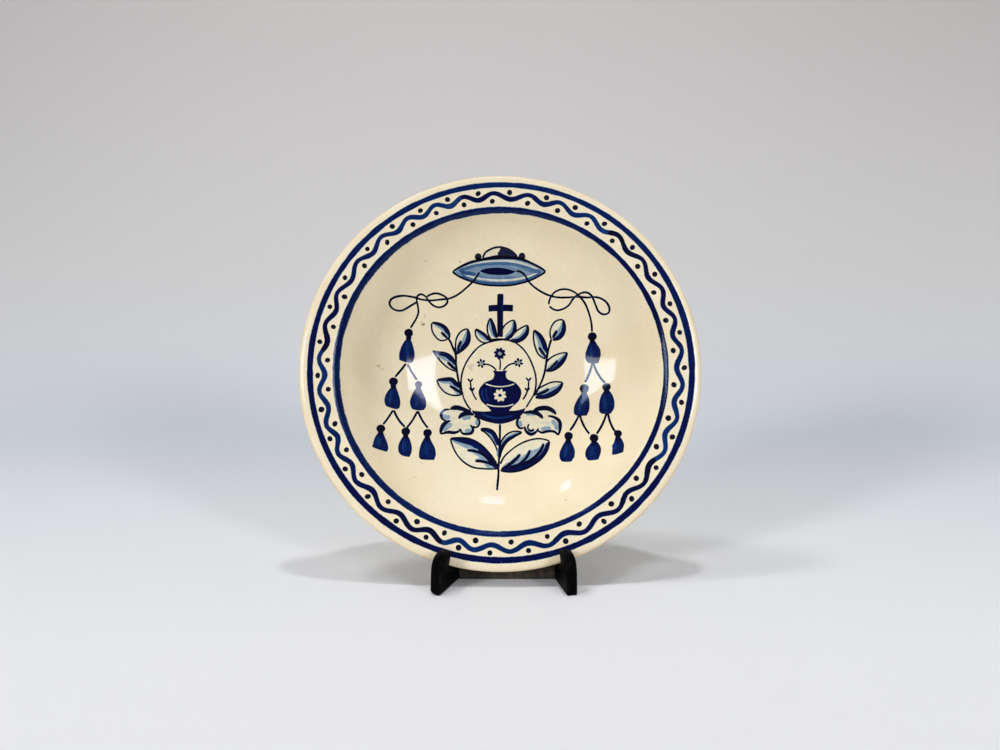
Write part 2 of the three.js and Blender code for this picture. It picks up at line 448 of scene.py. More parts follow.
def edgeDistance(edge, point):
    nearest = 1e9
    for a, b in zip(edge, edge[1:] + edge[:1]):
        span = b - a
        share = min(max((point - a).dot(span) / max(span.length_squared, 1e-9), 0), 1)
        nearest = min(nearest, (a + span * share - point).length)
    return nearest


# The same marks from points read in the photograph's pixels, widths too

def paintLine(points, width=1.5, ink=1.0, towards=None):
    # towards is a pixel on the side of the line where the whole width goes
    line = smoothed([(p[0], p[1], p[2] if len(p) > 2 else width) for p in points])
    path = [onDish(p.x, p.y) for p in line]
    side = 0
    if towards:
        middle = len(path) // 2
        ahead = path[middle + 1] - path[middle]
        offset = onDish(*towards) - path[middle]
        side = 1 if ahead.x * offset.y - ahead.y * offset.x > 0 else -1
    layStroke(path, [max(p.z, 0.05) * pixel * brush["press"] for p in line], ink, side)


def paintShape(sides, ink, margin, pooled=0.0, grain=0.0):
    # sides are open lines that follow each other round the shape, each smooth in itself
    edge = []
    for side in sides:
        flat = [Vector((x, y, 0)) for x, y in side]
        edge += [onDish(p.x, p.y) for p in (smoothed(flat) if len(flat) > 2 else flat)]
    kept = [edge[0]]
    for point in edge[1:]:
        if (point - kept[-1]).length > 0.08:
            kept.append(point)
    if (kept[-1] - kept[0]).length < 0.08:
        kept.pop()
    layWash(kept, ink, margin, pooled, grain)


def paintSpot(x, y, radius, ink=1.0, margin=0.25, uneven=0.06, brown=0.0):
    middle = onDish(x, y)
    edge = []
    for i in range(18):
        angle = math.tau * i / 18
        across, up = math.cos(angle), math.sin(angle)
        reach = radius * pixel * (1 + uneven * noise.noise(Vector((across * 1.4, up * 1.4, x))))
        edge.append(middle + Vector((across, up)) * reach)
    layWash(edge, ink, margin, grain=90, brown=brown)


# Border: two rings and a wave between them, with a dot in every bend; radii in millimetres,
# places round the rim as shares of a quarter turn, clockwise from the top

border = {
    "outerRing": {"radius": 118.3, "width": 3.95, "middle": (0.56, 0.19), "thinAtRight": 0, "seed": 2.0},
    "innerRing": {"radius": 102.8, "width": 3.85, "middle": (0.58, -0.26), "thinAtRight": 0.1, "seed": 5.0},
    "ringWander": 0.16,  # how far a ring strays, in millimetres
    "ringSwell": 0.09,  # how much its width changes, as a share
    "waveRadius": 111.2,
    "waveReach": 1.95,
    "waveWidth": 3.35,
    "waveTones": (0.97, 0.84, 0.72),  # as the brush empties
    "crests": [
        0.10, 0.213, 0.33, 0.45, 0.573, 0.697, 0.81, 0.923, 1.05, 1.17, 1.293, 1.427, 1.557, 1.697, 1.833,
        1.967, 2.097, 2.207, 2.323, 2.453, 2.583, 2.70, 2.807, 2.93, 3.047, 3.17, 3.287, 3.42, 3.543, 3.657,
        3.763, 3.867, 3.973,
    ],
    "brushLoads": [3.80, 0.413, 1.333, 2.207, 3.073],  # where the brush was dipped again
    "outerDots": 113.8,
    "innerDots": 107.8,
    "middle": (0.45, -0.05),  # the painter's wheel ran a little off the plate's middle
    "leanShift": 0.0235,  # the places were read about the ring's middle in the picture, which the lean moves
}


def onRim(turn, radius, middle=border["middle"]):
    turn += border["leanShift"] * math.sin(turn * math.pi / 2)
    angle = math.pi / 2 - turn * math.pi / 2
    return Vector(middle) + Vector((math.cos(angle), math.sin(angle))) * radius


def wavePhase(turn):
    # which wave this place is in, counted in whole waves from the first crest
    crests = border["crests"]
    lap, turn = divmod(turn, 4)
    full = [crests[-1] - 4] + crests + [crests[0] + 4]
    i = min(max(bisect_left(full, turn), 1), len(full) - 1)
    return lap * len(crests) + i - 2 + (turn - full[i - 1]) / (full[i] - full[i - 1])


def ringTone(part, seed):
    return 0.85 + 0.18 * noise.noise(Vector((part % 4 * 1.7, seed * 1.7, 0.4)))


def paintRing(ring):
    seed = ring["seed"]
    path, widths = [], []
    for i in range(361):
        turn = 4 * i / 360
        place = Vector((math.cos(turn * math.pi / 2), math.sin(turn * math.pi / 2), seed))
        radius = ring["radius"] + border["ringWander"] * noise.noise(place * 1.6)
        path.append(onRim(turn, radius, ring["middle"]))
        swell = 1 + border["ringSwell"] * noise.noise(place * 2.3)
        widths.append(ring["width"] * (swell - ring["thinAtRight"] * place.y))
    for part in range(4):  # one stroke for each quarter turn
        piece = slice(part * 90, part * 90 + 91)
        tones = (ringTone(part, seed), ringTone(part + 1, seed))
        layStroke(path[piece], widths[piece], tones, roundEnds=False)


def paintWave(first, last, tones, roundEnds):
    count = int((last - first) * 110)
    path, widths = [], []
    for i in range(count + 1):
        turn = first + (last - first) * i / count
        swing = math.cos(math.tau * wavePhase(turn))
        reach = border["waveReach"] * (1 + 0.10 * noise.noise(Vector((turn * 3, 1, 0))))
        path.append(onRim(turn, border["waveRadius"] + reach * swing))
        widths.append(border["waveWidth"] * (1.0 - 0.08 * swing))
    layStroke(path, widths, tones, roundEnds=roundEnds)


def paintBorder():
    paintRing(border["outerRing"])
    paintRing(border["innerRing"])
    loads = sorted(border["brushLoads"])
    loads = [loads[-1] - 4] + loads
    full, half, empty = border["waveTones"]
    for start, end in zip(loads, loads[1:]):
        halfway = start + (end - start) * 0.55
        paintWave(start, halfway, (full, half), True)
        paintWave(halfway - 0.02, end + 0.06, (half, empty), False)


# Painting: where each stroke runs, read in the photograph's pixels

hat = {
    "brimTop": [(452.5, 271.5), (460, 267), (470, 262.5), (480, 260), (490, 258.2), (500, 257), (510, 257.2),
                (520, 258.7), (530, 262.5), (540, 267.5), (545.7, 271.3)],
    "brimTopWidths": [1.2, 1.6, 1.8, 2.0, 2.6, 3.0, 2.8, 2.2, 1.7, 1.5, 1.2],
    "brimBottom": [(452.5, 271.8), (460, 277), (470, 281), (480, 284), (490, 285.3), (500, 285.7),
                   (510, 285.3), (520, 283.5), (530, 280.5), (540, 275.5), (545.7, 271.6)],
    "brimStreaks": [
        ([(462, 269.5), (475, 264), (488, 261.6), (502, 261), (516, 262), (530, 266), (538, 270)], 1.6, 0.16),
        ([(459, 271.5), (470, 267), (484, 264.3), (500, 263.4), (514, 264.4), (528, 268.5), (541, 272)],
         2.2, 0.56),
        ([(465, 274), (476, 277.8), (490, 280), (502, 280.3), (516, 279.3), (530, 276), (538, 273)],
         1.5, 0.14),
        ([(462, 275.8), (474, 280.6), (488, 283), (502, 283.4), (518, 282), (531, 277.8), (540, 273.8)],
         1.9, 0.6),
        ([(461, 272.5), (468, 273.3), (476, 274.5)], 2.6, 0.62),
        ([(524, 268.5), (531, 271), (538, 272)], 2.2, 0.5),
        ([(478, 275.8), (489, 277.6), (502, 278), (516, 277)], 1.3, 0.5),
    ],
    "opening": [[(479.5, 271), (484, 269), (490, 268), (500, 267.6), (510, 269.6), (516, 271.5)],
                [(516, 271.5), (510, 274.2), (500, 275), (490, 274.5), (483, 272.8), (479.5, 271)]],
    "crown": [(483, 258.4), (485, 253), (490, 249.5), (497, 247.2), (502, 247.3), (508, 249), (514, 253),
              (517, 257)],
    "crownShade": [[(500.6, 247.6), (504, 247.7), (508, 249), (514, 253), (517.4, 257.4)],
                   [(517.4, 257.4), (508, 256.6), (500, 256)],
                   [(500, 256), (497.4, 253.8), (499.4, 250.6), (500.6, 247.6)]],
    "balls": [(478.2, 257), (522, 256.5)],
    "ballSize": 3.6,
}

cords = {
    "leftRun": [(479.5, 272), (475, 279), (471, 283.5), (465, 289), (458, 294.5), (450, 298.3), (440, 299.6),
                (430, 300.5), (422, 299.6), (416, 298)],
    "leftLoop": [(417, 297.8), (410, 296.5), (404, 295.8), (396, 296.8), (391, 299.5), (389.5, 303),
                 (391, 307), (396, 310.3), (402, 310.5), (407, 308), (412, 305), (417, 302)],
    "leftTail": [(426, 297.5), (430, 294.8), (436, 293.3), (442, 295), (447, 298.5), (447.5, 302), (444, 306),
                 (438, 307.3), (432, 304.5), (428, 300), (425, 296), (421, 294.2), (418, 295.5),
                 (416.5, 298.5), (417, 302), (418, 307), (418.3, 313), (416, 319), (413, 324), (410.5, 328)],
    "rightRun": [(516, 271), (521, 272), (525, 275.5), (527.5, 280), (533, 286), (540, 291), (548, 295),
                 (557, 297.3), (567, 297.5), (578, 296.8), (588, 297.5), (594, 297), (601, 298.5), (607, 303),
                 (609.5, 309), (608.5, 313), (604, 314.5), (599, 312), (596, 306), (593.5, 299.5), (591, 295),
                 (587, 292.5), (582, 292.8), (577, 295.5), (573, 299), (569, 305), (563, 309), (557, 310.3),
                 (552, 308.5), (549.5, 306)],
    "rightTail": [(548.8, 304.5), (550.5, 297.5), (555, 292), (562, 289.3), (569, 289.8), (575, 292.5),
                  (580, 297), (585, 303.5), (588.5, 312), (591, 321), (592, 332)],
    "links": [
        [(406, 363.5), (401, 370), (395, 377)], [(407.5, 364), (410, 369), (417, 380)],
        [(393, 410), (388, 418), (383, 424.5)], [(394, 410), (397.5, 418), (405, 427)],
        [(417.5, 411), (412, 421), (406.5, 428)], [(418, 411), (421, 418), (428, 428)],
        [(592.5, 363), (589, 374), (585, 382.5)], [(593.5, 363), (598, 374), (605, 383)],
        [(579, 415), (575, 423), (570, 430.5)], [(580, 415), (583, 424), (589.5, 434)],
        [(606.5, 413), (603, 423), (596.5, 434)], [(608, 413), (610.5, 423), (615, 431.5)],
    ],
    "width": 1.55,
}

# Tassels: the head's middle and size, then the body's left edge down, its hem, its right edge up
tassels = [
    ((408.8, 333, 4.4), [(407, 338), (401.5, 346), (399, 355), (399.3, 360)],
     [(399.3, 360), (404, 361.8), (409, 363), (412.5, 362.5)],
     [(412.5, 362.5), (414.8, 356), (414, 349), (411, 340)]),
    ((393.5, 381.5, 4.4), [(391.5, 387), (386, 394), (384.3, 401), (386, 406)],
     [(386, 406), (391, 408), (397, 409.5)], [(399.5, 408), (400.5, 402), (399, 395), (396, 387)]),
    ((418.5, 384.5, 3.7), [(416, 388), (411.5, 396), (409.8, 402), (410.5, 406)],
     [(412, 409), (418, 410.5), (424, 410)], [(426, 407), (426, 400), (423.5, 394), (420.5, 388)]),
    ((380.8, 428.5, 4.1), [(379, 432), (375, 437), (373, 443), (372, 447)],
     [(372, 447), (380, 450), (387, 452)], [(388.5, 449), (387.5, 443), (385, 437), (383, 432)]),
    ((405.8, 431.5, 4.3), [(404.5, 435), (400, 441), (398, 448), (399, 453)],
     [(401, 455), (405, 456.5), (409.5, 457)], [(411, 454), (412, 449), (410.5, 441), (407.5, 435)]),
    ((427.5, 433, 4.3), [(425, 437), (421, 444), (419, 452), (419, 457.5)],
     [(421, 459.5), (428, 460), (434.5, 460)], [(436, 455), (435, 448), (431.5, 441), (430, 437)]),
    ((592.3, 336.5, 4.5), [(590, 341), (587.5, 347), (585.3, 354), (585.5, 360)],
     [(588, 363), (593, 363.6), (598.5, 363)], [(600.5, 357), (600.5, 350), (597, 344), (594.5, 340)]),
    ((584.3, 388.5, 4.7), [(582, 393), (577, 400), (573.8, 408), (574, 414)],
     [(576, 415.5), (581, 416), (587, 415.5)], [(589, 411), (589.8, 404), (588.5, 397), (586.5, 393)]),
    ((606.5, 387, 4.2), [(604, 391), (600.5, 397), (599, 405), (599.3, 412)],
     [(601, 413.5), (606, 414.2), (611, 413.5)], [(614, 409), (614.7, 403), (613, 396), (609, 390)]),
    ((568.5, 436, 4.3), [(566, 440), (562, 446.5), (559.5, 453), (559.5, 458)],
     [(561.5, 461.5), (566, 462), (571.5, 461.5)], [(574.5, 457), (574.8, 450), (572, 443), (570.5, 440)]),
    ((594, 438, 4.3), [(591.5, 442), (589, 445), (585.5, 451), (585.5, 457)],
     [(588, 460.5), (593, 460.4), (598.5, 459.5)], [(600.5, 454), (601, 448), (598, 442.5), (596, 441)]),
    ((618, 433.5, 3.7), [(615.5, 437), (613.5, 444), (612, 451), (612, 455)],
     [(612, 455), (616, 454.5), (623.5, 452)], [(624.3, 446), (622.5, 440), (620, 436.5)]),
]

cross = {
    "upright": [[(497.2, 294.3), (500.4, 293.6), (503.6, 294.2)], [(503.6, 294.2), (503.3, 315), (503, 337)],
                [(503, 337), (497.4, 337)], [(497.4, 337), (497, 315), (497.2, 294.3)]],
    "bar": [[(488.6, 305.2), (500, 304.6), (512.8, 304.8)], [(513.2, 304.8), (513, 311.5)],
            [(512.8, 311.6), (500, 311.2), (488.6, 311.8)], [(488.4, 311.6), (488.4, 305.2)]],
    "streak": [(502.6, 300), (502.4, 309), (502.8, 318)],
}

# Leaves: the edge with the dark shade, the plain edge, any veins, and how wide the shade is
leaves = [
    # two tongues on each side of the cross's foot
    ([(475.5, 329), (482, 332), (487, 336), (489.8, 340.5)],
     [(475.5, 329.5), (476, 336), (480, 341), (485, 342.8), (489.8, 341.3)], 2.2),
    ([(490.5, 318), (494, 325), (496, 332), (497, 338)],
     [(490.5, 318), (488, 323), (487.3, 330), (489, 336), (492, 340)], 2.6),
    ([(514, 320), (516, 327), (515, 333), (510, 338), (505, 340)],
     [(514, 320), (508, 322.5), (503.5, 327), (501.5, 334)], 2.6),
    ([(527.5, 325), (528, 333), (524, 339), (518, 342), (510, 340.7)],
     [(527.5, 325), (521, 328), (515, 332.5), (511, 338)], 2.8),
    # left spray
    ([(432, 322.7), (440, 323.5), (446, 327), (449, 332), (449.5, 337), (447.3, 339.6)],
     [(432, 322.7), (432, 330), (435, 336), (440, 340.3), (444, 340.5), (447.3, 339)],
     [(441, 332.2), (444, 335), (447.6, 338.6)], 2.9),
    ([(467.5, 328.7), (470, 336), (469, 343), (463, 350), (456, 354.3)],
     [(467.5, 328.7), (461, 331.5), (457, 337), (455.5, 345), (455.7, 353)],
     [(461.3, 341), (459.5, 345), (457.5, 350)], 3.2),
    ([(432.8, 350.8), (438, 352), (444, 352.5), (451, 356), (455, 362), (456.8, 370.5)],
     [(432.8, 350.8), (438, 358), (444, 364.6), (450, 369), (456.5, 371.5)],
     [(447.3, 362), (451, 365.4), (455.6, 369.6)], 3.2),
    ([(437, 380), (444, 378.5), (452, 378.2), (457, 383), (461, 390), (463, 394.6)],
     [(437, 380), (440, 387), (446, 393), (453, 395.3), (461.5, 394.6)],
     [(449.5, 386), (456, 389.5), (462, 393.6)], 2.9),
    # right spray
    ([(563, 319.8), (565.3, 327), (564, 334), (560, 338.6), (552.5, 340)],
     [(563, 319.8), (556, 321), (551.3, 327), (550, 334), (551.3, 339)],
     [(557, 330.5), (555, 334), (552.4, 338)], 3.0),
    ([(534, 330.2), (540, 334), (545, 342), (547, 352), (546.3, 358.8)],
     [(534, 330.2), (533.5, 338), (535.5, 348), (539, 355), (545.3, 358.8)],
     [(539, 347), (541.8, 351.5), (545.4, 356)], 3.0),
    ([(567.3, 352.7), (565, 360), (559, 367), (552, 370.8), (546, 371)],
     [(567.3, 352.7), (560, 353.5), (552, 357), (547, 361.5), (545.4, 369)],
     [(558, 360.5), (554, 365), (549, 369.5)], 3.0),
    ([(562.8, 382.7), (560, 389.6), (553, 395.5), (543.5, 398.3), (535.3, 397.5)],
     [(562.8, 382.7), (553, 382), (545, 385), (537, 390.3), (534.8, 396)],
     [(549, 389), (543, 392.4), (536, 394.8)], 3.2),
    # small pair on the lower stem
    ([(480.5, 429.3), (487, 428.6), (493, 431), (497, 437), (499.2, 446)],
     [(480.5, 429.8), (487, 434), (492, 440), (496, 447), (498.3, 456)], 3.0),
    ([(522, 432.6), (514, 437), (507, 442), (502, 450), (500, 458)],
     [(522, 432.4), (513, 431.5), (506, 435), (501.5, 441), (500, 450)], 2.1),
    # large pair below
    ([(450.5, 438.5), (460, 437.8), (470, 439), (480, 444), (488, 451.6), (495, 461), (498.4, 468)],
     [(450.5, 438.5), (453, 447), (458, 456), (465, 463), (473, 467.3), (483, 468.7), (498.4, 468.7)],
     [(467, 450.5), (472, 450.6), (478, 452), (487, 457.5), (495, 465)],
     [(475, 461.2), (479, 461), (484, 461.7), (494, 466)], 4.8),
    ([(549.3, 441), (547.5, 450), (542, 458), (533, 465), (522, 470), (511, 472), (500.4, 470.5)],
     [(549.3, 441), (540, 438.7), (530, 440), (520, 444), (510, 451), (504, 457), (500.6, 464)],
     [(520.2, 454.3), (517, 458), (510, 464), (501.5, 468.6)],
     [(530, 450.3), (528, 455), (522, 462), (511, 468.4)],
     [(543.6, 443.6), (541, 450), (534, 458), (521, 465.6)], 5.4),
]

stems = [
    [(447.5, 337.5), (450, 341), (453, 348), (455.5, 354), (456, 365), (457.5, 375), (459.5, 385),
     (462, 393)],
    [(551.5, 339), (549, 347), (547, 357), (545.5, 368), (543, 378), (539.5, 386), (534.3, 395.5)],
    [(500, 424), (499.8, 440), (499.2, 455), (498.6, 468)],
    [(498.4, 468), (498.4, 476), (497.6, 484), (497, 490.5)],
    [(488.8, 340.3), (500, 339.3), (509.5, 340.3)],
]

medallion = {
    "left": [(505, 339.5), (488, 342.5), (480, 346), (472, 354), (466, 363), (462.5, 372), (461, 382),
             (462, 392), (465.5, 402), (471, 410)],
    "right": [(505, 340), (512, 341), (520, 346), (527, 354), (532, 364), (535.5, 375), (536, 385),
              (534, 394), (530, 401), (526, 407.5)],
    "hill": [[(471, 410), (482, 411.4), (500, 410), (516, 410.4), (526, 407.5)],
             [(526, 407.5), (520, 416.8), (510, 422), (500, 424), (490, 422.6), (478, 418), (471, 410)]],
    "vase": [[(490.5, 369.5), (494, 373), (493.6, 377.5), (484, 383), (478.6, 391), (480.6, 400),
              (488, 407.4), (492, 412)],
             [(492, 412), (508, 412)],
             [(508, 412), (512, 407.4), (519.4, 400), (521.4, 391), (516, 383), (506.4, 377.5),
              (506, 373), (509.5, 369.5)],
             [(509.5, 369.5), (500, 371), (490.5, 369.5)]],
    "bands": [[(485.6, 383.8), (493, 386), (500, 386.6), (507, 386), (514.4, 383.8)],
              [(486.6, 404.2), (493, 406), (500, 406.5), (507, 406), (513.4, 404.2)]],
    "flowers": [(499.8, 353.6, 6.2), (481.4, 363.4, 4.8), (518.6, 362.6, 4.8)],
    "stalks": [[(499.8, 370), (500.3, 365), (499.8, 358)], [(496.4, 370.6), (491.6, 366), (484.6, 364)],
               [(503.4, 370.6), (508.2, 365.4), (515.4, 363.2)]],
    "sprigs": [[(470.4, 382), (472, 391), (476.6, 400)], [(528.6, 381), (527.4, 391), (522.8, 399.6)]],
    "sheens": [[(482.4, 390), (482.6, 396), (486, 402)], [(486, 388.6), (486.4, 395), (489, 401)],
               [(482, 414), (492, 417.4), (503, 417.8), (513, 415)]],
    "petalMark": (500, 395.4, 6.6, 8),
}

# Scrolled leaves beside the medallion: loaded strokes, then thin ones; numbers are x, y and width
scrolls = {
    "grounds": [
        [[(450, 409), (458, 406), (467, 409.5), (474, 415), (479.5, 422), (476, 427.5), (472, 433),
          (462, 433), (455, 432.5), (441, 434.5), (441.5, 427), (449, 421), (442, 418.5), (441, 413.5),
          (450, 409)]],
        [[(523, 412), (531, 410.5), (540, 407.2), (549, 407.4), (556.5, 415), (560.3, 422), (560, 430),
          (557.6, 435), (548, 431.4), (539, 432), (531, 434.3), (525, 429), (517.4, 424.4),
          (517.6, 418.6), (523, 412)]],
    ],
    "washes": [
        [(444, 414), (446, 417.5), (450, 416)], [(443.5, 431), (447, 427), (452, 424)],
        [(462.5, 419.5), (466, 417.6), (471, 418)], [(470.6, 429.6), (468, 431), (464.8, 430)],
        [(476.8, 418.8), (477.6, 422), (476, 425)], [(556.4, 430), (556, 425), (551.4, 420.6)],
        [(541.4, 430), (546.4, 428.4), (551, 429)], [(536, 414.6), (531, 413.2), (526, 414.4)],
        [(520, 420.6), (520, 424), (522.4, 426)], [(528.4, 430), (531, 431.8), (534, 430)],
    ],
    "thick": [
        [(450, 409.4, 1.8), (455, 407.6, 3.5), (462, 408.8, 3.4), (468, 410.6, 2.2), (471.5, 411.6, 1.4)],
        [(451, 420.6, 1.4), (445, 423.2, 3.0), (441.6, 428, 3.0), (440.8, 434.3, 1.4)],
        [(440.8, 434.3, 1.4), (448, 432.2, 2.4), (455, 432.6, 2.4), (459, 431, 1.8), (460, 428.4, 1.2)],
        [(458.6, 419, 1.4), (462, 414.8, 3.4), (468, 413.2, 3.4), (474, 415.4, 1.6)],
        [(470, 425, 1.2), (473, 429, 2.4), (471.6, 433, 2.2), (467, 434, 2.0), (462, 433, 1.8),
         (461, 429, 1.2)],
        [(450, 409.5, 1.2), (443, 411, 2.2), (441, 415, 2.4), (442.4, 419, 1.8), (446.5, 420.6, 1.1)],
        [(533, 411, 1.6), (540, 408.4, 3.6), (548, 408.4, 3.8), (554, 411.8, 3.0), (556, 414.6, 1.8)],
        [(523, 413.2, 1.6), (530, 412, 2.8), (537, 413.2, 3.2), (543, 418.6, 2.0)],
        [(547.5, 416, 1.2), (555, 417.6, 2.2), (559.4, 421.2, 2.8), (560.2, 428, 2.6), (558, 435.4, 1.4)],
        [(558, 435.4, 1.4), (555, 432, 1.8), (548, 431.2, 2.0), (541, 432.5, 1.8), (537, 429, 1.2)],
        [(524.6, 426, 1.2), (526, 431, 2.0), (531, 434.4, 2.4), (536, 432, 1.8), (538.5, 428, 1.1)],
        [(521, 417, 1.2), (517.8, 419.4, 1.8), (517.2, 425, 2.0), (520, 428.3, 1.8), (524, 427.4, 1.2)],
    ],
    "thin": [
        [(474, 416), (479, 420), (479.5, 424), (476, 427.5), (473, 426)],
        [(529, 424), (528, 429), (531, 431), (534, 429)],
    ],
}

firingMarks = [  # small flaws in the glaze: x, y, size, how brown
    (423.6, 324.4, 1.3, 0.9), (421, 322.4, 0.8, 0.7), (460, 261.6, 1.0, 0.5), (426, 261, 0.9, 0.35),
    (476, 319, 1.0, 0.3), (383, 268.5, 0.8, 0.45), (421.5, 463.5, 0.9, 0.35), (472, 367, 3.4, 0.26),
    (415.5, 477, 1.0, 0.3), (566, 500, 0.9, 0.35), (540, 344, 0.7, 0.3), (379, 366, 1.5, 0.4),
    (383, 369.5, 1.1, 0.5), (424.5, 316, 1.7, 0.2),
]


# Painting: how each motif is laid; an ink is 0 for none to 1 for the darkest

petalShape = ((0.22, 0.2), (0.66, 0.42), (1.0, 0.24))  # distance out and width, to the flower's size


def weighted(points, widths):
    return [(x, y, width) for (x, y), width in zip(points, widths)]


def paintLeaf(dark, plain, veins, shade):
    # pale body, a wash and a dark shade along one edge, the veins, then thin edges
    paintShape([dark, plain[::-1]], ink=0.06, margin=0.3)
    last = len(dark) - 1
    swell = [math.sin(math.pi * min(0.9, (i + 0.15) / last * 0.85)) ** 0.6 for i in range(last + 1)]
    for reach, ink in ((1.75, 0.36), (1.0, 0.87)):
        line = weighted(dark, [shade * reach * s for s in swell])
        paintLine(line, ink=ink, towards=plain[len(plain) // 2])
    for vein in veins:
        paintLine([(x + 0.3, y - 0.8) for x, y in vein[:3]], width=3.0, ink=0.3)
        paintLine(weighted(vein, [1.8] + [2.3] * (len(vein) - 2) + [1.4]), ink=0.97)
    paintLine(dark, width=1.45)
    paintLine(plain, width=1.35)


def paintFlower(x, y, size, petals, ink, middleInk):
    for i in range(petals):
        angle = math.tau * (i + 0.3) / petals
        reach = Vector((math.cos(angle), math.sin(angle))) * size
        paintLine([(x + reach.x * far, y + reach.y * far, size * wide) for far, wide in petalShape], ink=ink)
    paintSpot(x, y, size * 0.24, middleInk)


def paintHat():
    paintShape([hat["brimTop"], hat["brimBottom"][::-1]], ink=0.42, margin=0.3, pooled=0.06)
    for points, width, ink in hat["brimStreaks"]:
        paintLine(points, width, ink)
    paintShape([hat["crown"], [hat["crown"][-1], hat["crown"][0]]], ink=0.05, margin=0.3)
    paintShape(hat["crownShade"], ink=0.93, margin=0.3)
    paintShape(hat["opening"], ink=0.95, margin=0.3)
    paintLine(hat["crown"])
    paintLine(hat["brimBottom"])
    paintLine(weighted(hat["brimTop"], hat["brimTopWidths"]))
    for x, y in hat["balls"]:
        paintSpot(x, y, hat["ballSize"])


def paintCords():
    for name in ("leftRun", "leftLoop", "leftTail", "rightRun", "rightTail"):
        paintLine(cords[name], cords["width"], ink=0.99)
    for link in cords["links"]:
        paintLine(link, cords["width"] * 1.1, ink=0.99)


def paintTassels():
    # dark body, a paler streak down its left, the neck and the head
    for (x, y, size), left, hem, right in tassels:
        paintShape([left, hem, right], ink=0.84, margin=0.5, pooled=0.16, grain=90)
        lowX, lowY = hem[len(hem) // 2]
        halfway = ((x + lowX) / 2 - 1.4, (y + lowY) / 2, 3.0)
        paintLine([(x - 1.5, y + 9, 1.5), halfway, (lowX - 1.6, lowY - 4, 1.6)], ink=0.75)
        paintLine([(x, y + 1.5, 3.8), (x - 0.3, y + 7.5, 4.2)], ink=0.95)
        paintSpot(x, y, size, ink=0.98)


def paintMedallion():
    paintShape(medallion["hill"], ink=0.93, margin=0.5, pooled=0.06, grain=10)
    paintShape(medallion["vase"], ink=0.9, margin=0.5, pooled=0.1, grain=90)
    for band in medallion["bands"]:
        paintLine(band, width=0.9, ink=0.1)
    for sheen in medallion["sheens"]:
        paintLine(sheen, width=1.6, ink=0.74)
    paintFlower(*medallion["petalMark"], ink=0.02, middleInk=0.8)
    for stalk in medallion["stalks"] + medallion["sprigs"]:
        paintLine(stalk, width=1.3, ink=0.98)
    for (x, y, size), petals in zip(medallion["flowers"], (8, 6, 6)):
        paintFlower(x, y, size, petals, ink=0.93, middleInk=0.4)
    for sprig in medallion["sprigs"]:
        for x, y in sprig[:2]:
            for tip in (-2.6, 2.4):
                paintLine([(x, y), (x + tip, y - 3.4)], ink=0.95)
    paintLine(medallion["left"], width=1.35)
    paintLine(medallion["right"], width=1.35)


def paintScrolls():
    for ground in scrolls["grounds"]:
        paintShape(ground, ink=0.07, margin=0.4)
    for line in scrolls["washes"]:
        paintLine(line, width=3.4, ink=0.36)
    for line in scrolls["thick"]:
        paintLine(line, ink=0.97)
    for line in scrolls["thin"]:
        paintLine(line, width=1.6)


def paintFiringMarks():
    for x, y, size, brown in firingMarks:
        paintSpot(x, y, size * 1.3, ink=0, margin=size * 0.4, uneven=1.1, brown=brown)


def paintCross():
    paintShape(cross["upright"], ink=0.95, margin=0.3, pooled=0.03, grain=90)
    paintShape(cross["bar"], ink=0.95, margin=0.3, pooled=0.03)
    paintLine(cross["streak"], width=0.9, ink=0.78)


paintBorder()
for dark, plain, *veins, shade in leaves:
    paintLeaf(dark, plain, veins, shade)
paintScrolls()
paintMedallion()
for stem in stems:
    paintLine(stem, width=1.7)
paintCross()
paintHat()
paintCords()
paintTassels()
paintFiringMarks()
print("brushwork laid:", laid["strokes"], "strokes,", len(laid["faces"]), "patches")


# The face of the plate as one sheet of triangles that follows every mark

# kept on the corners of each triangle for the glaze, with three more for the place along the stroke
paintReadings = ("ink", "under", "rim", "pooled", "brown")
unpainted = (0,) * 8
# rings of points that carry the face's curve: first radius, step, number of rings, points on each
faceRings = [
    (4, 4, 7, 60), (32, 4, 8, 120), (64, 3, 7, 160), (84.5, 1.5, 6, 240), (93.2, 1.0, 12, 240),
    (106, 3.2, 5, 240), (120.9, 0, 1, 240),
]


def marksAt(mark, point):
    # ink, place across the mark from -1 to 1, run along it and distance across it in millimetres,
    # pooling, brown
    if "edge" in mark:
        rim = 1 - min(1, edgeDistance(mark["edge"], point) / mark["margin"])
        turned = Matrix.Rotation(-mark["grain"], 2) @ point
        return mark["ink"], rim, turned.x, turned.y, mark["pooled"], mark["brown"]
    start, end = mark["start"], mark["end"]
    line = end["centre"] - start["centre"]
    share = min(max((point - start["centre"]).dot(line) / max(line.length_squared, 1e-9), 0), 1)
    centre = start["centre"].lerp(end["centre"], share)
    across = line.x * (point - centre).y - line.y * (point - centre).x
    across /= max(line.length, 1e-6)
    half = start["half"] + (end["half"] - start["half"]) * share
    ink = start["ink"] + (end["ink"] - start["ink"]) * share
    return ink, max(-1, min(1, across / half)), start["run"] + line.length * share, across, 0.04, 0.0


def cornerPaint(owners, point):
    # what the glaze reads at one corner, from the marks that lie there, the last laid first
    top = laid["marks"][owners[0]]
    below = next((laid["marks"][o] for o in owners if laid["marks"][o]["stroke"] != top["stroke"]), None)
    ink, rim, run, across, pooled, brown = marksAt(top, point)
    under = marksAt(below, point)[0] if below else 0
    return ink, under, rim, pooled, brown, run, across, top["stroke"] * 7.3


def circlePoints(radius, count, shift=0.0):
    turns = [math.tau * (i + shift) / count for i in range(count)]
    return [Vector((math.cos(turn), math.sin(turn))) * radius for turn in turns]


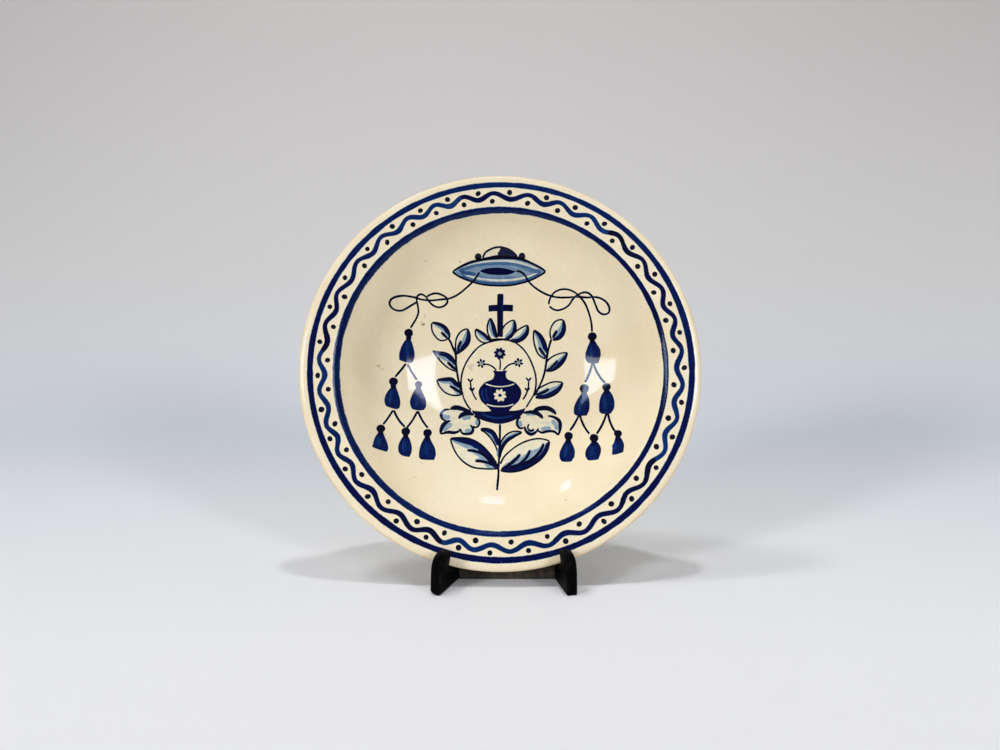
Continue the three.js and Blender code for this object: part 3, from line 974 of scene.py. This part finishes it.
def facePlace(place):
    # a point of the flat sheet lifted to the face, and which way the face looks there
    radius = place.length
    span = 0.4 if radius > 0.2 else 0.2 + radius
    rise = (faceHeight(radius + 0.2) - faceHeight(max(radius - 0.2, 0))) / span
    outward = place / radius if radius > 1e-6 else Vector((0, 0))
    normal = Vector((-outward.x * rise, -outward.y * rise, 1)).normalized()
    return Vector((place.x, place.y, faceHeight(radius))), normal


def turnBack(size, last, vertices, normals, shown):
    # lip, underside, foot ring and back, turned round the axis from the edge of the face
    around = size["around"]
    turned = [Vector((size["faceEdge"], faceHeight(size["faceEdge"])))] + outline[faceCount:]
    for k in range(1, len(turned) - 1):
        point = turned[k]
        ahead = turned[k + 1] - turned[k - 1]
        facing = Vector((-ahead.y, ahead.x)).normalized()
        ring = []
        for i in range(around):
            across, up = math.cos(math.tau * i / around), math.sin(math.tau * i / around)
            ring.append(len(vertices))
            vertices.append(Vector((across * point.x, up * point.x, point.y)))
            normals.append(Vector((across * facing.x, up * facing.x, facing.y)))
        for i in range(around):
            j = (i + 1) % around
            shown.append([last[i], ring[i], ring[j], last[j]])
        last = ring
    centre = len(vertices)
    vertices.append(Vector((0, 0, turned[-1].y)))
    normals.append(Vector((0, 0, -1)))
    shown += [[last[i], centre, last[(i + 1) % around]] for i in range(around)]


def makePlate(material):
    points, faces = laid["points"], laid["faces"]
    around = plateSize["around"]
    first = len(points)
    points += circlePoints(plateSize["faceEdge"], around)
    points.append(Vector((0, 0)))
    for start, step, rows, count in faceRings:
        for i in range(rows):
            radius = start + step * i
            points += circlePoints(radius, count, radius % 0.7)  # staggered from ring to ring
    circle = list(range(first, first + around))
    sheet = delaunay_2d_cdt(points, laid["edges"], faces + [circle], 0, 1e-5, True)
    flat, triangles, sources, owners = sheet[0], sheet[2], sheet[3], sheet[5]

    vertices, normals = [], []
    rimPlaces = {}
    for index, place in enumerate(flat):
        vertex, normal = facePlace(place)
        vertices.append(vertex)
        normals.append(normal)
        for source in sources[index]:
            if first <= source < first + around:
                rimPlaces[source - first] = index
    shown, corners = [], []
    for triangle, owner in zip(triangles, owners):
        shown.append(list(triangle))
        marks = sorted((o for o in owner if o < len(faces)), reverse=True)
        corners += [cornerPaint(marks, flat[corner]) if marks else unpainted for corner in triangle]
    turnBack(plateSize, [rimPlaces[i] for i in range(around)], vertices, normals, shown)
    corners += [unpainted] * (sum(len(face) for face in shown) - len(corners))

    mesh = bpy.data.meshes.new("paintedPlate")
    mesh.from_pydata([fromDish(v) for v in vertices], [], shown)
    for place, name in enumerate(paintReadings):
        layer = mesh.attributes.new(name, "FLOAT", "CORNER")
        layer.data.foreach_set("value", [c[place] for c in corners])
    layer = mesh.attributes.new("stroke", "FLOAT_VECTOR", "CORNER")
    layer.data.foreach_set("vector", [value for c in corners for value in c[5:8]])
    mesh.shade_smooth()
    mesh.normals_split_custom_set_from_vertices([plateTurn @ n for n in normals])
    piece = addPiece("paintedPlate", mesh, "plate", material)
    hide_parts("plate")
    print("plate made:", len(mesh.vertices), "points,", len(mesh.polygons), "faces")


# Glaze: cream tin glaze with cobalt under its surface

glazeLook = {
    "cream": linear(245, 232, 200),
    "warm": linear(242, 226, 191),
    "lip": linear(232, 206, 168),
    "thinFrom": 0.1243,  # metres from the axis: the glaze begins to run thin, and is thinnest
    "thinTo": 0.1262,
    "clay": linear(196, 158, 120),
    "darkClay": linear(168, 128, 92),
    "bareTop": 0.0013,  # metres over the foot: above this no clay is bare, below the other all is
    "bareAll": 0.0007,
    "rough": 0.045,
    "shine": 0.2,
    "flaw": linear(128, 96, 62),
    "streaks": (0.10, 2.1, 1.0),  # how fine the brush's hairs show along and across a stroke
    "relief": 0.0006,  # depth of the glaze's waves and pits, in metres
    "inkSteps": [  # how much of the glaze's own colour each strength of paint lets through
        (0.0, (1.0, 1.0, 1.0, 1)),
        (0.10, (0.84, 0.93, 1.0, 1)),
        (0.34, (0.30, 0.48, 0.82, 1)),
        (0.56, (0.055, 0.17, 0.50, 1)),
        (0.74, (0.001, 0.032, 0.24, 1)),
        (0.88, (0.0005, 0.003, 0.10, 1)),
        (1.0, (0.001, 0.001, 0.014, 1)),
    ],
}


def dishPlace(tree):
    # the piece's own coordinates, turned to lie flat on the dish with its axis along Z
    own = put(tree, "ShaderNodeTexCoord").outputs["Object"]
    turn = (math.pi / 2 - lean, 0, 0)
    settled = {"Vector": own, "Location": plateOrigin, "Rotation": turn}
    return put(tree, "ShaderNodeMapping", settled, vector_type="TEXTURE").outputs["Vector"]


def bareGlaze(tree, place, across, up):
    # soft patches, warmer where it runs thin over the lip
    patches = spread(tree, speckle(tree, place, 22, 3, 0.55), 0.35, 0.68, smooth=True)
    colour = blend(tree, patches, glazeLook["cream"], glazeLook["warm"])
    freckles = spread(tree, speckle(tree, place, 420, 4, 0.6), 0.3, 0.75, 0.965, 1.02)
    colour = dimmed(tree, colour, freckles)
    radius = sums(tree, "SQRT", added(tree, sums(tree, "POWER", across, 2.0), sums(tree, "POWER", up, 2.0)))
    lipEdge = added(tree, radius, times(tree, speckle(tree, place, 60, 3), 0.0022))
    thin = spread(tree, lipEdge, glazeLook["thinFrom"], glazeLook["thinTo"], smooth=True)
    return blend(tree, thin, colour, glazeLook["lip"])


def paintStrength(tree, place, read, rim):
    # streaks along each stroke, ink pooled at its edges, a slightly ragged outline
    along = put(tree, "ShaderNodeAttribute", attribute_name="stroke").outputs["Vector"]
    sway = put(tree, "ShaderNodeMapping", {"Vector": along, "Scale": glazeLook["streaks"]}).outputs["Vector"]
    streaks = less(tree, speckle(tree, sway, 1.0, 3, 0.6), 0.5)
    clouds = less(tree, speckle(tree, place, 260, 2), 0.5)
    depth = spread(tree, read["ink"], 0.2, 1.0, 0.42, 0.16)
    unevenness = times(tree, added(tree, streaks, times(tree, clouds, 0.5)), depth)
    pool = times(tree, sums(tree, "POWER", rim, 2.0), read["pooled"])
    density = added(tree, added(tree, read["ink"], unevenness), pool, clamp=True)
    ragged = times(tree, less(tree, speckle(tree, place, 900, 2), 0.5), 0.24)
    covered = spread(tree, added(tree, rim, ragged), 0.74, 1.04, 1.0, 0.0, smooth=True)
    covered = times(tree, covered, sums(tree, "GREATER_THAN", read["ink"], 0.001))
    below = times(tree, read["under"], less(tree, 1.0, covered))
    return added(tree, times(tree, density, covered), below)


def glazeRelief(tree, place):
    # slow waves, a fine peel and a few pits
    swell = speckle(tree, place, 38, 2, 0.4)
    peel = speckle(tree, place, 520, 2, 0.5)
    pits = put(tree, "ShaderNodeTexVoronoi", {"Vector": place, "Scale": 210.0}).outputs["Distance"]
    pits = spread(tree, pits, 0.0, 0.055, -1.0, 0.0, smooth=True)
    relief = added(tree, times(tree, swell, 0.35), times(tree, peel, 0.03))
    return added(tree, relief, times(tree, pits, 0.10))


def paintedGlaze():
    material, tree, shader = newMaterial("paintedGlaze")
    place = dishPlace(tree)
    split = put(tree, "ShaderNodeSeparateXYZ", {"Vector": place}).outputs
    read = {}
    for name in paintReadings:
        read[name] = put(tree, "ShaderNodeAttribute", attribute_name=name).outputs["Fac"]
    rim = sums(tree, "ABSOLUTE", read["rim"])
    colour = bareGlaze(tree, place, split["X"], split["Y"])
    shades = ramp(tree, paintStrength(tree, place, read, rim), glazeLook["inkSteps"])
    colour = blend(tree, 1.0, colour, shades, "MULTIPLY")
    # brown flaws, strongest in their middle
    stain = times(tree, read["brown"], less(tree, 1.0, sums(tree, "POWER", rim, 1.5)), clamp=True)
    colour = blend(tree, stain, colour, glazeLook["flaw"])
    # bare clay on the foot ring
    height = added(tree, split["Z"], times(tree, speckle(tree, place, 180, 3), 0.0008))
    bare = spread(tree, height, glazeLook["bareTop"], glazeLook["bareAll"], smooth=True)
    clay = blend(tree, speckle(tree, place, 300, 5, 0.7), glazeLook["clay"], glazeLook["darkClay"])
    tree.links.new(blend(tree, bare, colour, clay), shader.inputs["Base Color"])
    shader.inputs["Specular IOR Level"].default_value = glazeLook["shine"]
    rough = glazeLook["rough"]
    gloss = spread(tree, speckle(tree, place, 90, 3), 0.3, 0.7, rough - 0.012, rough + 0.025)
    tree.links.new(added(tree, gloss, times(tree, bare, 0.6), clamp=True), shader.inputs["Roughness"])
    bumpOn(tree, shader, glazeRelief(tree, place), glazeLook["relief"], 0.5)
    return material


makePlate(paintedGlaze())


# Dots of the border: one thick drop of paint in every bend of the wave, instanced with Geometry Nodes

dots = {
    "radius": 1.74,
    "height": 0.06,
    "uneven": 0.24,
    "seed": 11,
    "turnSlip": 0.006,  # how far the hand missed each bend, along the wave and across it
    "reachSlip": 0.3,
    "deep": linear(3, 4, 14),
    "pale": linear(8, 12, 38),
    "shine": 0.08,
}
dotInputs = {
    "Geometry": "NodeSocketGeometry", "Radius": "NodeSocketFloat", "Height": "NodeSocketFloat",
    "Unevenness": "NodeSocketFloat", "Seed": "NodeSocketInt",
}


def dotPaint():
    material, tree, shader = newMaterial("dotPaint")
    place = dishPlace(tree)
    tone = ramp(tree, speckle(tree, place, 500, 3), [(0.3, dots["deep"]), (0.75, dots["pale"])])
    tree.links.new(tone, shader.inputs["Base Color"])
    shader.inputs["Specular IOR Level"].default_value = dots["shine"]
    rough = spread(tree, speckle(tree, place, 240, 2), 0.3, 0.7, 0.14, 0.26)
    tree.links.new(rough, shader.inputs["Roughness"])
    bumpOn(tree, shader, speckle(tree, place, 900, 2), 0.0001, 0.5)
    return material


def dotTree(material):
    tree = bpy.data.node_groups.new("borderDots", "GeometryNodeTree")
    for name, kind in dotInputs.items():
        tree.interface.new_socket(name, in_out="INPUT", socket_type=kind)
    tree.interface.new_socket("Geometry", in_out="OUTPUT", socket_type="NodeSocketGeometry")
    given = put(tree, "NodeGroupInput").outputs
    drop = put(tree, "GeometryNodeMeshUVSphere", {"Segments": 14, "Rings": 7, "Radius": 1.0}).outputs["Mesh"]
    # each drop faces out of the flange, with a turn of its own
    facing = put(tree, "GeometryNodeInputNamedAttribute", {"Name": "facing"}, data_type="FLOAT_VECTOR")
    turned = {"Vector": facing.outputs[0]}
    turned = put(tree, "FunctionNodeAlignRotationToVector", turned, axis="Z").outputs[0]
    spin = {2: 0.0, 3: math.tau, "Seed": given["Seed"]}
    spin = put(tree, "FunctionNodeRandomValue", spin, data_type="FLOAT").outputs[1]
    twist = put(tree, "FunctionNodeAxisAngleToRotation", {"Axis": (0, 0, 1), "Angle": spin}).outputs[0]
    spun = put(tree, "FunctionNodeRotateRotation", {0: turned, 1: twist}, rotation_space="LOCAL").outputs[0]
    # and a size of its own
    uneven = {0: (-0.5, -0.5, 0), 1: (0.5, 0.5, 0), "Seed": added(tree, given["Seed"], 1.0)}
    uneven = put(tree, "FunctionNodeRandomValue", uneven, data_type="FLOAT_VECTOR").outputs[0]
    scaled = {0: uneven, 3: given["Unevenness"]}
    scaled = put(tree, "ShaderNodeVectorMath", scaled, operation="SCALE").outputs[0]
    grown = put(tree, "ShaderNodeVectorMath", {0: scaled, 1: (1.0, 1.0, 1.0)}, operation="ADD").outputs[0]
    sizes = {0: given["Radius"], 1: given["Radius"], 2: given["Height"]}
    sizes = put(tree, "ShaderNodeCombineXYZ", sizes).outputs[0]
    shape = put(tree, "ShaderNodeVectorMath", {0: grown, 1: sizes}, operation="MULTIPLY").outputs[0]
    placed = {"Points": given["Geometry"], "Instance": drop, "Rotation": spun, "Scale": shape}
    placed = put(tree, "GeometryNodeInstanceOnPoints", placed).outputs[0]
    real = put(tree, "GeometryNodeRealizeInstances", {"Geometry": placed}).outputs[0]
    painted = put(tree, "GeometryNodeSetMaterial", {"Geometry": real, "Material": material}).outputs[0]
    smoothShade = put(tree, "GeometryNodeSetShadeSmooth", {"Geometry": painted}).outputs[0]
    put(tree, "NodeGroupOutput", {0: smoothShade})
    return tree


def growMesh(name, source, tree, values):
    # runs the tree on a mesh and returns its result as a plain mesh
    holder = addObject(name + "Source", source)
    modifier = holder.modifiers.new(name, "NODES")
    modifier.node_group = tree
    for item in tree.interface.items_tree:
        if item.in_out == "INPUT" and item.name in values:
            modifier[item.identifier] = values[item.name]
    return plainMesh(holder, name)


def dotPlaces():
    # a dot inside each crest and one outside each trough: turn round the rim, and radius
    turnSlip, reachSlip = dots["turnSlip"], dots["reachSlip"]
    crests = border["crests"]
    places = []
    for crest, after in zip(crests, crests[1:] + [crests[0] + 4]):
        for turn, radius in ((crest, border["innerDots"]), ((crest + after) / 2, border["outerDots"])):
            turn += random.uniform(-turnSlip, turnSlip)
            places.append((turn, radius + random.uniform(-reachSlip, reachSlip)))
    return places


def makeDots():
    random.seed(dots["seed"])
    places = dotPlaces()
    slope = math.atan2(plateSize["flangeRise"], plateSize["flangeWidth"])
    spots, facings = [], []
    for turn, radius in places:
        spot = onRim(turn, radius)
        inward = spot.normalized() * -math.sin(slope)
        spots.append(fromDish((spot.x, spot.y, faceHeight(spot.length))))
        facings.append(plateTurn @ Vector((inward.x, inward.y, math.cos(slope))))
    source = bpy.data.meshes.new("dotPlaces")
    source.from_pydata(spots, [], [])
    facing = source.attributes.new("facing", "FLOAT_VECTOR", "POINT")
    facing.data.foreach_set("vector", [value for f in facings for value in f])
    values = {
        "Radius": dots["radius"] * mm, "Height": dots["height"] * mm,
        "Unevenness": dots["uneven"], "Seed": dots["seed"],
    }
    mesh = growMesh("borderDots", source, dotTree(dotPaint()), values)
    addPiece("borderDots", mesh, "plate")
    print("dots made:", len(places))


makeDots()


# Stand: each piece of the frame, with its edges eased and its own wood

standPieces = {
    "left_bracket": {"name": "leftBoard", "slot": "dark_wood", "ease": 0.5},
    "right_bracket": {"name": "rightBoard", "slot": "dark_wood", "ease": 0.5},
    "front_rail": {"name": "crossRail", "slot": "brown_wood", "ease": 0.6},
    "rear_block": {"name": "rearBlock", "slot": "dark_wood", "ease": 0.6},
    "front_left_dowel": {"name": "frontLeftDowel", "slot": "brown_wood", "ease": 0.25},
    "front_right_dowel": {"name": "frontRightDowel", "slot": "brown_wood", "ease": 0.25},
    "rear_lower_dowel": {"name": "rearLowerDowel", "slot": "brown_wood", "ease": 0.25},
    "rear_upper_dowel": {"name": "rearUpperDowel", "slot": "brown_wood", "ease": 0.25},
}
# knocked off the left foot's outer front corner: which way each cut looks, and its depth in millimetres
footChip = [
    ((-0.62, -0.12, -1.0), 1.36),
    ((-1.0, -0.35, -0.35), 0.672),
]
lipDrop = {"above": 13.5, "by": 4.2}  # the lips end lower in the photograph than in the solids, millimetres
woodLooks = {
    "dark_wood": {
        "name": "blackenedWood",
        "tones": (linear(2, 2, 3), linear(8, 8, 9), linear(26, 23, 20)),
        "worn": linear(70, 58, 47),
        "grainTurn": (0, 0, 0),
        "rough": 0.42,
        "dust": 0.2,
        "shine": 0.02,
    },
    "brown_wood": {
        "name": "brownedWood",
        "tones": (linear(40, 37, 33), linear(78, 71, 63), linear(110, 99, 88)),
        "worn": linear(128, 112, 94),
        "grainTurn": (0, math.pi / 2, 0),
        "rough": 0.6,
        "dust": 0.45,
        "shine": 0.05,
    },
}
woodWear = {"bevel": 0.0011, "patchShare": 0.35, "full": 0.16, "most": 0.9}  # how far edges are rubbed back
woodRelief = 0.00035  # depth of the grain, in metres


def stainedWood(look):
    material, tree, shader = newMaterial(look["name"])
    own = put(tree, "ShaderNodeTexCoord").outputs["Object"]
    along = {"Vector": own, "Rotation": look["grainTurn"], "Scale": (1.0, 1.0, 0.09)}
    along = put(tree, "ShaderNodeMapping", along).outputs["Vector"]
    grain = speckle(tree, along, 420, 6, 0.65, 0.4)
    rings = speckle(tree, along, 90, 3, 0.5, 1.2)
    patches = speckle(tree, own, 70, 4, 0.6)
    tone = ramp(tree, grain, list(zip((0.25, 0.6, 0.85), look["tones"])))
    tone = blend(tree, spread(tree, rings, 0.4, 0.75, 0.0, 0.45), tone, look["tones"][0])
    # edges rubbed back to the wood: where the rounded normal leaves the flat one
    soft = put(tree, "ShaderNodeBevel", {"Radius": woodWear["bevel"]}, samples=6).outputs["Normal"]
    flat = put(tree, "ShaderNodeNewGeometry").outputs["Normal"]
    turn = put(tree, "ShaderNodeVectorMath", {0: soft, 1: flat}, operation="DOT_PRODUCT").outputs["Value"]
    rubbed = times(tree, less(tree, patches, 0.55), woodWear["patchShare"])
    rubbed = added(tree, less(tree, 1.0, turn), rubbed)
    rubbed = spread(tree, rubbed, 0.0, woodWear["full"], 0.0, woodWear["most"], smooth=True)
    tone = blend(tree, rubbed, tone, look["worn"])
    dust = spread(tree, speckle(tree, own, 300, 5, 0.7), 0.55, 0.75, 0.0, look["dust"], smooth=True)
    tree.links.new(blend(tree, dust, tone, look["worn"]), shader.inputs["Base Color"])
    shader.inputs["Specular IOR Level"].default_value = look["shine"]
    rough = spread(tree, grain, 0.25, 0.8, look["rough"] - 0.12, look["rough"] + 0.16)
    tree.links.new(rough, shader.inputs["Roughness"])
    bumpOn(tree, shader, added(tree, grain, times(tree, rings, 0.8)), woodRelief, 0.6)
    return material


def chipFoot(shape):
    # cuts the corner off in two ways and closes each cut
    corner = min((v.co for v in shape.verts), key=lambda c: c.x * 0.6 + c.y + c.z * 1.5).copy()
    for way, depth in footChip:
        facing = Vector(way).normalized()
        everything = shape.verts[:] + shape.edges[:] + shape.faces[:]
        spot = corner - facing * depth * mm
        cut = bmesh.ops.bisect_plane(shape, geom=everything, plane_co=spot, plane_no=facing, clear_outer=True)
        edges = [e for e in cut["geom_cut"] if isinstance(e, bmesh.types.BMEdge)]
        if edges:
            bmesh.ops.holes_fill(shape, edges=edges, sides=0)


def lowerLip(shape):
    # along the plate's lean, so that the lip keeps its distance from the rim
    above = lipDrop["above"] * mm
    top = max(v.co.z for v in shape.verts if v.co.y < 0)
    for v in shape.verts:
        if v.co.y < 0 and v.co.z > above:
            share = (v.co.z - above) / (top - above)
            v.co -= Vector((0, math.tan(lean), 1)) * lipDrop["by"] * mm * share


def dressStandPiece(node, look, material):
    shape = bmesh.new()
    shape.from_mesh(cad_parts[node].data)
    bmesh.ops.remove_doubles(shape, verts=shape.verts[:], dist=0.00002)
    bmesh.ops.dissolve_limit(shape, angle_limit=math.radians(0.6), verts=shape.verts[:], edges=shape.edges[:])
    if node == "left_bracket":
        chipFoot(shape)
    if node.endswith("_bracket"):
        lowerLip(shape)
    bmesh.ops.recalc_face_normals(shape, faces=shape.faces[:])
    mesh = bpy.data.meshes.new(look["name"])
    shape.to_mesh(mesh)
    shape.free()
    holder = addObject("easing", mesh)
    bevel = holder.modifiers.new("easedEdges", "BEVEL")
    bevel.width = look["ease"] * mm
    bevel.segments = 3
    bevel.limit_method = "ANGLE"
    bevel.angle_limit = math.radians(28)
    bevel.harden_normals = True
    eased = plainMesh(holder, look["name"])
    eased.shade_smooth()
    eased.set_sharp_from_angle(angle=math.radians(35))
    piece = addPiece(look["name"], eased, "stand", material)
    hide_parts(node)


woods = {slot: stainedWood(look) for slot, look in woodLooks.items()}
for nodeName, nodeLook in standPieces.items():
    dressStandPiece(nodeName, nodeLook, woods[nodeLook["slot"]])
print("stand dressed")


# Stage: a pale sweep whose colour carries painted shade, and plain soft light

sweep = {
    "front": -0.62, "back": 1.1, "bend": 0.85, "height": 2.2, "width": 6.0,
    # painted shade: the tones darken from the front of the floor up to the top of the backdrop
    "tones": [  # from the front edge of the floor to the top of the backdrop
        (0.0, linear(238, 238, 239)), (0.15, linear(236, 237, 238)), (0.21, linear(228, 230, 232)),
        (0.34, linear(206, 212, 216)), (0.48, linear(208, 210, 211)), (0.62, linear(207, 205, 203)),
        (1.0, linear(196, 192, 188)),
    ],
    # painted shade: the sweep's colour is dimmed towards its left side
    "paintedShadeAtLeft": 0.92,
}


def makeSweep():
    bend = sweep["bend"]
    bendStart = sweep["back"] - bend
    profile = [(sweep["front"], 0.0), (bendStart, 0.0)]
    for i in range(1, 25):
        angle = math.pi / 2 * i / 24
        profile.append((bendStart + math.sin(angle) * bend, bend * (1 - math.cos(angle))))
    profile.append((sweep["back"], sweep["height"]))
    vertices = [(x, y, z) for y, z in profile for x in (-sweep["width"] / 2, sweep["width"] / 2)]
    faces = [(2 * i, 2 * i + 1, 2 * i + 3, 2 * i + 2) for i in range(len(profile) - 1)]
    mesh = bpy.data.meshes.new("paleSweep")
    mesh.from_pydata(vertices, [], faces)
    mesh.shade_smooth()
    material, tree, shader = newMaterial("paleSweep")
    own = put(tree, "ShaderNodeTexCoord").outputs["Object"]
    split = put(tree, "ShaderNodeSeparateXYZ", {"Vector": own}).outputs
    # painted shade in the colour: darker towards the back and top, and towards the left
    tone = ramp(tree, spread(tree, added(tree, split["Y"], split["Z"]), -0.5, 2.0), sweep["tones"])
    paintedLeftShade = spread(tree, split["X"], -1.1, 0.5, sweep["paintedShadeAtLeft"], 1.0, smooth=True)
    tree.links.new(dimmed(tree, tone, paintedLeftShade), shader.inputs["Base Color"])
    shader.inputs["Roughness"].default_value = 0.75
    shader.inputs["Specular IOR Level"].default_value = 0.15
    mesh.materials.append(material)
    addObject("paleSweep", mesh)


# Lamps: middle, facing, width and height in metres, power and colour
mirroredLamps = {  # the windows and ceiling lamps, which show only as highlights
    "rightWindow": ((0.70, -2.76, 1.66), (0, 1, 0), (0.85, 0.40), 25, (0.70, 0.75, 1.0)),
    "leftWindow": ((-1.64, -2.76, 1.73), (0, 1, 0), (1.72, 0.46), 48, (0.54, 0.72, 1.0)),
    "leftWindowSill": ((-1.64, -2.73, 1.455), (0, 1, 0), (1.72, 0.09), 6, (0.93, 0.93, 1.0)),
    "ceilingMiddle": ((0.085, -0.4, 2.29), (0, 0, -1), (0.27, 0.42), 4.6, (0.36, 0.5, 1.0)),
    "ceilingLeft": ((-0.86, -0.4, 2.29), (0, 0, -1), (0.18, 0.42), 4, (0.45, 0.6, 1.0)),
}
roomLamps = {  # these light the object and cast its shadows, and have no mirror image
    "overhead": ((0.08, 0.17, 2.0), (0, -0.1, -1), (0.1, 0.1), 8.5, (0.99, 0.98, 1.0)),
    "highLeft": ((-0.69, 0.13, 1.6), (0.4, -0.1, -1), (0.22, 0.22), 5.5, (0.99, 0.98, 1.0)),
    "leftSide": ((-2.3, -1.9, 1.2), (0.76, 0.64, -0.36), (0.55, 0.55), 46, (0.97, 0.965, 1.0)),
    "rightSide": ((2.05, -2.17, 1.2), (-0.68, 0.72, -0.36), (0.55, 0.55), 31, (0.97, 0.965, 1.0)),
    "rightFill": ((1.5, 0.2, 0.45), (-1, -0.1, -0.1), (0.9, 0.3), 2, (1.0, 0.97, 0.93)),
}


def makeLamps(lamps, mirrored):
    for name, (middle, facing, size, power, colour) in lamps.items():
        data = bpy.data.lights.new(name, "AREA")
        data.shape = "RECTANGLE"
        data.size, data.size_y = size
        data.energy = power
        data.color = colour
        lamp = addObject(name, data)
        lamp.location = middle
        lamp.rotation_euler = Vector(facing).to_track_quat("-Z", "Y").to_euler()
        lamp.visible_glossy = mirrored
        lamp.visible_diffuse = not mirrored


# The room round the lamps: its colours, its strength, the share of that behind the camera,
# and the strength at which the camera itself sees it past the sweep
room = {
    "tones": [(0.0, linear(162, 170, 177)), (0.5, linear(207, 213, 219)), (1.0, linear(234, 237, 240))],
    "strength": 0.4,
    "behindCamera": 0.85,
    "seen": 1.4,
}


def makeRoom():
    world = bpy.data.worlds.new("softRoom")
    world.use_nodes = True
    tree = world.node_tree
    background = tree.nodes["Background"].inputs
    own = put(tree, "ShaderNodeTexCoord").outputs["Generated"]
    direction = put(tree, "ShaderNodeSeparateXYZ", {"Vector": own}).outputs
    tree.links.new(ramp(tree, direction["Z"], room["tones"]), background["Color"])
    behind = room["strength"] * room["behindCamera"]
    strength = spread(tree, direction["Y"], -0.3, 0.3, behind, room["strength"], smooth=True)
    cameraRay = put(tree, "ShaderNodeLightPath").outputs["Is Camera Ray"]
    tree.links.new(spread(tree, cameraRay, 0.0, 1.0, strength, room["seen"]), background["Strength"])
    scene.world = world


makeSweep()
makeLamps(mirroredLamps, True)
makeLamps(roomLamps, False)
makeRoom()
print("stage and lamps set")
